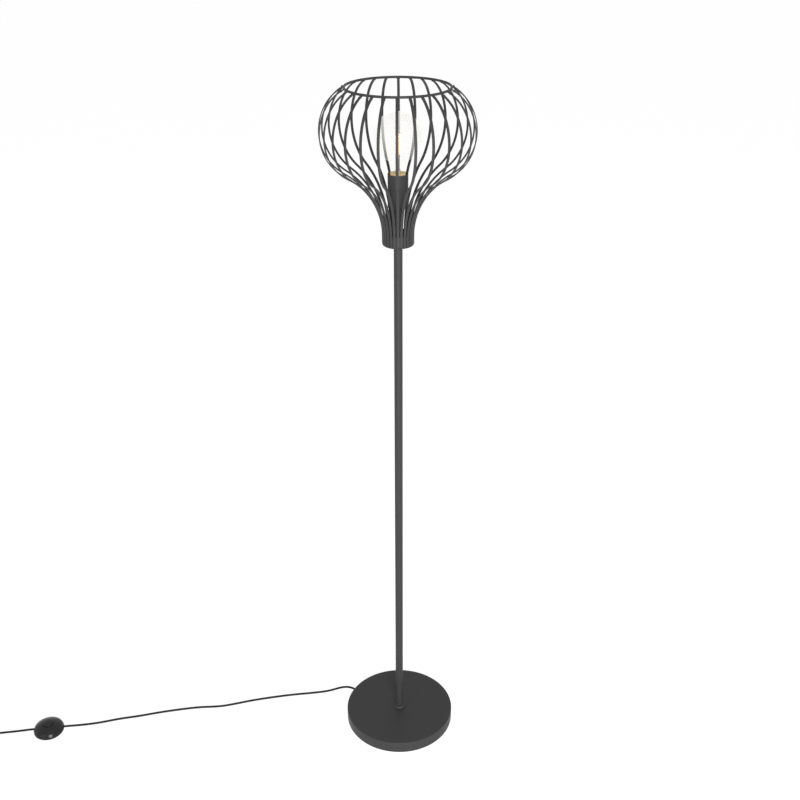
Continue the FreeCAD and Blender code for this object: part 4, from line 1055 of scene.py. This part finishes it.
def lead_curve(name, points, smooth):
    """A stretch of the lead: one smooth round curve with the route's points as its control points."""
    curve = bpy.data.curves.new(name, "CURVE")
    curve.dimensions = "3D"
    spline = curve.splines.new("NURBS")
    spline.points.add(len(points) - 1)
    for point, place in zip(spline.points, points):
        point.co = (*(place * MM), 1.0)
    spline.order_u = 3
    spline.use_endpoint_u = True
    spline.resolution_u = smooth
    curve.bevel_depth = sizes().lead_diameter / 2
    curve.bevel_resolution = 4
    curve.use_fill_caps = True
    return piece(name, curve)


class CAGELAMP_OT_foot_switch(bpy.types.Operator):
    """Round foot switch: base dish, glossy dome with its seam and lead holes, and push button"""

    bl_idname = "cage_lamp.foot_switch"
    bl_label = "Foot switch"

    def execute(self, context):
        side, skirt, reach, height, wall = 14.0, 3.0, 36.0, 23.0, 2.0
        flat, rise = reach - side, height - skirt
        crown = (flat ** 2 + rise ** 2 - side ** 2) / (2 * (rise - side))
        middle = (0.0, height - crown)
        lean = math.atan2(skirt - middle[1], flat)
        low_out = math.asin((SEAM_HEIGHT - skirt) / side)
        low_in = math.asin((SEAM_HEIGHT - skirt) / (side - wall))
        hole = (sizes().button_radius + sizes().button_groove) / MM
        high_out, high_in = math.acos(hole / crown), math.acos(hole / (crown - wall))
        seam = SEAM_HEIGHT
        seam_out = (flat + side * math.cos(low_out), seam)
        seam_in = (flat + (side - wall) * math.cos(low_in), seam)
        rim = (hole, middle[1] + crown * math.sin(high_out))
        outside = [(seam_out[0] - 0.35, seam), (seam_out[0] - 0.02, seam + 0.35)] + \
            arc_points((flat, skirt), side, low_out + 0.035, lean, 18) + \
            arc_points(middle, crown, lean, high_out + 0.012, 16)[1:] + \
            [(rim[0] + 0.32, rim[1] - 0.06), (rim[0], rim[1] - 0.38)]
        inside = arc_points(middle, crown - wall, high_in, lean, 12) + \
            arc_points((flat, skirt), side - wall, lean, low_in, 10)[1:]
        cover = lathe("switch_dome", mm(outside + inside), 160, SWITCH_FRAME)
        cut_away(cover, self.lead_holes())
        dress(cover, "switch_plastic", "lamp", "switch_cover")

        dish = lathe("switch_dish", mm([
            (0, 0), (reach - 1.6, 0), (reach - 1.1, 0.2), (reach - 0.1, 1.6), (reach, 2.1), (reach, skirt)] +
            arc_points((flat, skirt), side, 0.0, low_out - 0.04, 5)[1:] +
            [(seam_out[0] - 0.35, seam), seam_in, (seam_in[0], 2.5), (0, 2.5)]), 160, SWITCH_FRAME)
        cut_away(dish, self.lead_holes())
        dress(dish, "switch_plastic", "lamp", "switch_base")

        edge, crown_rise, peak = sizes().button_radius / MM, 1.6, 25.8
        ball = (edge ** 2 + crown_rise ** 2) / (2 * crown_rise)
        begins = math.pi / 2 - math.asin((edge - 0.9) / ball)
        top = arc_points((0.0, peak - ball), ball, begins, math.pi / 2, 14)
        top[-1] = (0.0, peak)
        soft = [(edge, 23.2), (edge - 0.08, 23.75), (edge - 0.35, 24.15), (edge - 0.62, 24.3)]
        button = lathe("switch_knob", mm([(0, 16.8), (15.4, 16.8), (15.4, 18.3), (edge, 18.3)] + soft + top),
                       96, SWITCH_FRAME)
        dress(button, "switch_plastic", "button", "switch_button")
        return {"FINISHED"}

    @staticmethod
    def lead_holes():
        """Rods that cut the lead's two holes, one on each side."""
        made = []
        outline = mm([(0, 24.0), (2.75, 24.0), (2.75, 40.0), (0, 40.0)])
        for k, turn in enumerate((0.0, math.pi)):
            place = SWITCH_FRAME @ Matrix.Rotation(turn, 4, "Z") @ \
                Matrix.Translation((0.0, 0.0, SEAM_HEIGHT * MM)) @ Matrix.Rotation(math.pi / 2, 4, "Y")
            made.append(lathe("lead_hole_%d" % k, outline, 32, place))
        return made


class CAGELAMP_OT_plug(bpy.types.Operator):
    """Flat two-pin plug: body with grips, ribbed boot and sleeved pins"""

    bl_idname = "cage_lamp.plug"
    bl_label = "Plug"

    def execute(self, context):
        body = piece("plug_shell", self.body_mesh())
        bevel = body.modifiers.new("edges", "BEVEL")
        bevel.width, bevel.segments = 0.0028, 5
        bevel.limit_method, bevel.angle_limit = "ANGLE", math.radians(40)
        plain(body)
        body.data.transform(PLUG_FRAME)
        body.data.shade_smooth()
        body.data.set_sharp_from_angle(angle=math.radians(45.0))
        boot = []
        for k in range(6):
            x, r = 2.0 + 3.6 * k, 3.6 + 1.6 * (2.0 + 3.6 * k) / 29.0
            boot += [(r, x, 0.15), (r + 0.35, x + 0.5, 0.2), (r + 0.45, x + 1.7, 0.2),
                     (r + 0.1, x + 2.3, 0.15)]
        outline = rounded(mm([(2.7, 0), (3.4, 0, 0.4), (3.6, 0.8, 0.2)] + boot +
                             [(5.1, 24.0, 0.3), (5.2, 29.0), (0, 29.0), (0, 10.0), (2.7, 10.0)]), 3)
        sleeve = lathe("plug_boot", outline, 64, PLUG_AXIS)
        grips = self.grips()
        dress(body, "plug_plastic", "lamp", "plug_body")
        dress(sleeve, "plug_plastic", "lamp")
        dress(grips, "plug_plastic", "lamp")
        for name, side in (("left", 1), ("right", -1)):
            place = PLUG_FRAME @ Matrix.Translation((0.0, side * 0.0093, 0.0)) @ \
                Matrix.Rotation(math.pi / 2, 4, "Y")
            metal = lathe("pin_" + name, rounded(mm([
                (0, 56.0), (1.5, 56.0), (1.5, 60.0), (1.9, 60.0), (1.9, 70.0), (2.0, 70.1), (2.0, 79.0, 1.0),
                (0, 79.0)]), 6), 32, place)
            dress(metal, "nickel", "lamp", "plug_pin_" + name)
            cover = lathe("pin_sleeve_" + name, rounded(mm([
                (1.9, 60.0), (2.0, 60.0), (2.0, 70.0), (1.9, 70.0)]), 2), 32, place)
            dress(cover, "plug_plastic", "lamp")
        return {"FINISHED"}

    @staticmethod
    def body_mesh():
        """The plug's flat body, wide at its pins and narrow at its boot."""
        plan = [(26, -8.5), (45, -17.5), (60, -17.5), (60, 17.5), (45, 17.5), (26, 8.5)]
        half = 0.0068

        def build(bm):
            low = [bm.verts.new((x * MM, y * MM, -half)) for x, y in plan]
            high = [bm.verts.new((x * MM, y * MM, half)) for x, y in plan]
            bm.faces.new(low)
            bm.faces.new(high)
            for k in range(len(plan)):
                j = (k + 1) % len(plan)
                bm.faces.new((low[k], low[j], high[j], high[k]))
        return mesh_from("plug_shell", build)

    @staticmethod
    def grips():
        """Raised finger ribs on both flat faces, set out in a row by a Geometry Nodes tree."""
        along, half_length, height, sides = 30.5, 7.0, 6.62, 10
        section = [Vector((0.75 * math.cos(a), 0, 0.35 * math.sin(a)))
                   for a in (2 * math.pi * i / sides for i in range(sides))]

        def rib(bm):
            for face in (-1, 1):
                ends = [Vector((along, y, face * height)) for y in (-half_length, half_length)]
                bridge(bm, [[bm.verts.new((end + corner) * MM) for corner in section] for end in ends])

        tree, net, given = new_tree("grip_tree", [("Count", "Int"), ("Step", "Float"), ("Widen", "Float"),
                                                  ("Finish", "Material")])
        index = net.node("GeometryNodeInputIndex")
        place = net.node("ShaderNodeCombineXYZ", inputs={0: index * given["Step"]})
        points = net.node("GeometryNodePoints", inputs={"Count": given["Count"], "Position": place})
        scale = net.node("ShaderNodeCombineXYZ", inputs={0: 1.0, 1: index * given["Widen"] + 1.0, 2: 1.0})
        row = net.node("GeometryNodeInstanceOnPoints", inputs={
            "Points": points, "Instance": given["Geometry"], "Scale": scale})
        end_tree(net, row, given["Finish"])
        made = piece("plug_grips", mesh_from("plug_grips", rib))
        grow(made, tree, {"Count": 5, "Step": 0.0032, "Widen": 0.16, "Finish": finish_in("plug_plastic")})
        made.data.transform(PLUG_FRAME)
        return made


class CAGELAMP_OT_lead(bpy.types.Operator):
    """The mains lead, foot to switch and switch to plug, with the strap round its stored coil"""

    bl_idname = "cage_lamp.lead"
    bl_label = "Lead"

    def execute(self, context):
        first = lead_curve("lead_to_switch", lead_to_switch(), 16)
        dress(first, "lead_sheath", "lamp", "cord_to_switch")
        second = lead_curve("lead_to_plug", lead_to_plug(), 6)
        dress(second, "lead_sheath", "lamp", "cord_to_coil", "cord_coil", "cord_to_plug")
        tie = self.tie()
        dress(tie, "strap", "lamp", slot="lead_sheath")
        tuple(lead_to_plug()[0] * MM)
        return {"FINISHED"}

    @staticmethod
    def tie():
        """A strap round the bundle of turns, on the side away from the plug."""
        centre = Vector((-1017.64, -119.76, 0.0))
        side_of_tie = math.radians(-60.0)
        outwards = Vector((math.cos(side_of_tie), math.sin(side_of_tie), 0.0))
        across = outwards.cross(UP)
        inner = rounded([(19.6, 0.55, 4.4), (40.3, 0.55, 4.4), (40.3, 11.2, 4.4), (19.6, 11.2, 4.4)], 8)
        outer = rounded([(19.0, 0.0, 4.9), (40.9, 0.0, 4.9), (40.9, 11.8, 4.9), (19.0, 11.8, 4.9)], 8)
        half = sizes().tie_width / MM / 2

        def build(bm):
            def ring(line, side):
                return [bm.verts.new((centre + outwards * r + UP * z + across * side) * MM)
                        for r, z in line]

            loops = [ring(inner, -half), ring(outer, -half), ring(outer, half), ring(inner, half)]
            bridge(bm, loops + loops[:1], ends=False)
            # the strap's loose end, a little narrower, pressed down on the top
            tail = [(24.0, 11.8), (36.0, 11.8), (36.0, 12.5), (24.0, 12.5)]
            bridge(bm, [ring(tail, -half * 0.97), ring(tail, half * 0.97)])
        return piece("coil_strap", mesh_from("coil_strap", build))


# -------------------------------------------------------------------- panel
class CAGELAMP_PT_panel(bpy.types.Panel):
    """The lamp's pieces and their settings"""

    bl_idname = "CAGELAMP_PT_panel"
    bl_label = "Wire Cage Floor Lamp"
    bl_space_type = "VIEW_3D"
    bl_region_type = "UI"
    bl_category = "Cage Lamp"

    def draw(self, context):
        for operator in OPERATORS:
            self.layout.operator(operator.bl_idname)
        for group in (context.scene.cage_lamp_sizes, context.scene.cage_lamp_colours):
            column = self.layout.column()
            for name in group.bl_rna.properties.keys():
                if name not in ("rna_type", "name"):
                    column.prop(group, name)


OPERATORS = (
    CAGELAMP_OT_stage,
    CAGELAMP_OT_foot,
    CAGELAMP_OT_pole,
    CAGELAMP_OT_cage,
    CAGELAMP_OT_lampholder,
    CAGELAMP_OT_bulb,
    CAGELAMP_OT_foot_switch,
    CAGELAMP_OT_plug,
    CAGELAMP_OT_lead,
)
CLASSES = (LampSizes, LampColours, *OPERATORS, CAGELAMP_PT_panel)


def register():
    for cls in CLASSES:
        bpy.utils.register_class(cls)
    bpy.types.Scene.cage_lamp_sizes = PointerProperty(type=LampSizes)
    bpy.types.Scene.cage_lamp_colours = PointerProperty(type=LampColours)


def unregister():
    del bpy.types.Scene.cage_lamp_colours
    del bpy.types.Scene.cage_lamp_sizes
    for cls in reversed(CLASSES):
        bpy.utils.unregister_class(cls)


def main():
    register()
    bpy.ops.cage_lamp.stage()
    bpy.ops.cage_lamp.foot()
    bpy.ops.cage_lamp.pole()
    bpy.ops.cage_lamp.cage()
    bpy.ops.cage_lamp.lampholder()
    bpy.ops.cage_lamp.bulb()
    bpy.ops.cage_lamp.foot_switch()
    bpy.ops.cage_lamp.plug()
    bpy.ops.cage_lamp.lead()


if __name__ == "__main__":
    main()
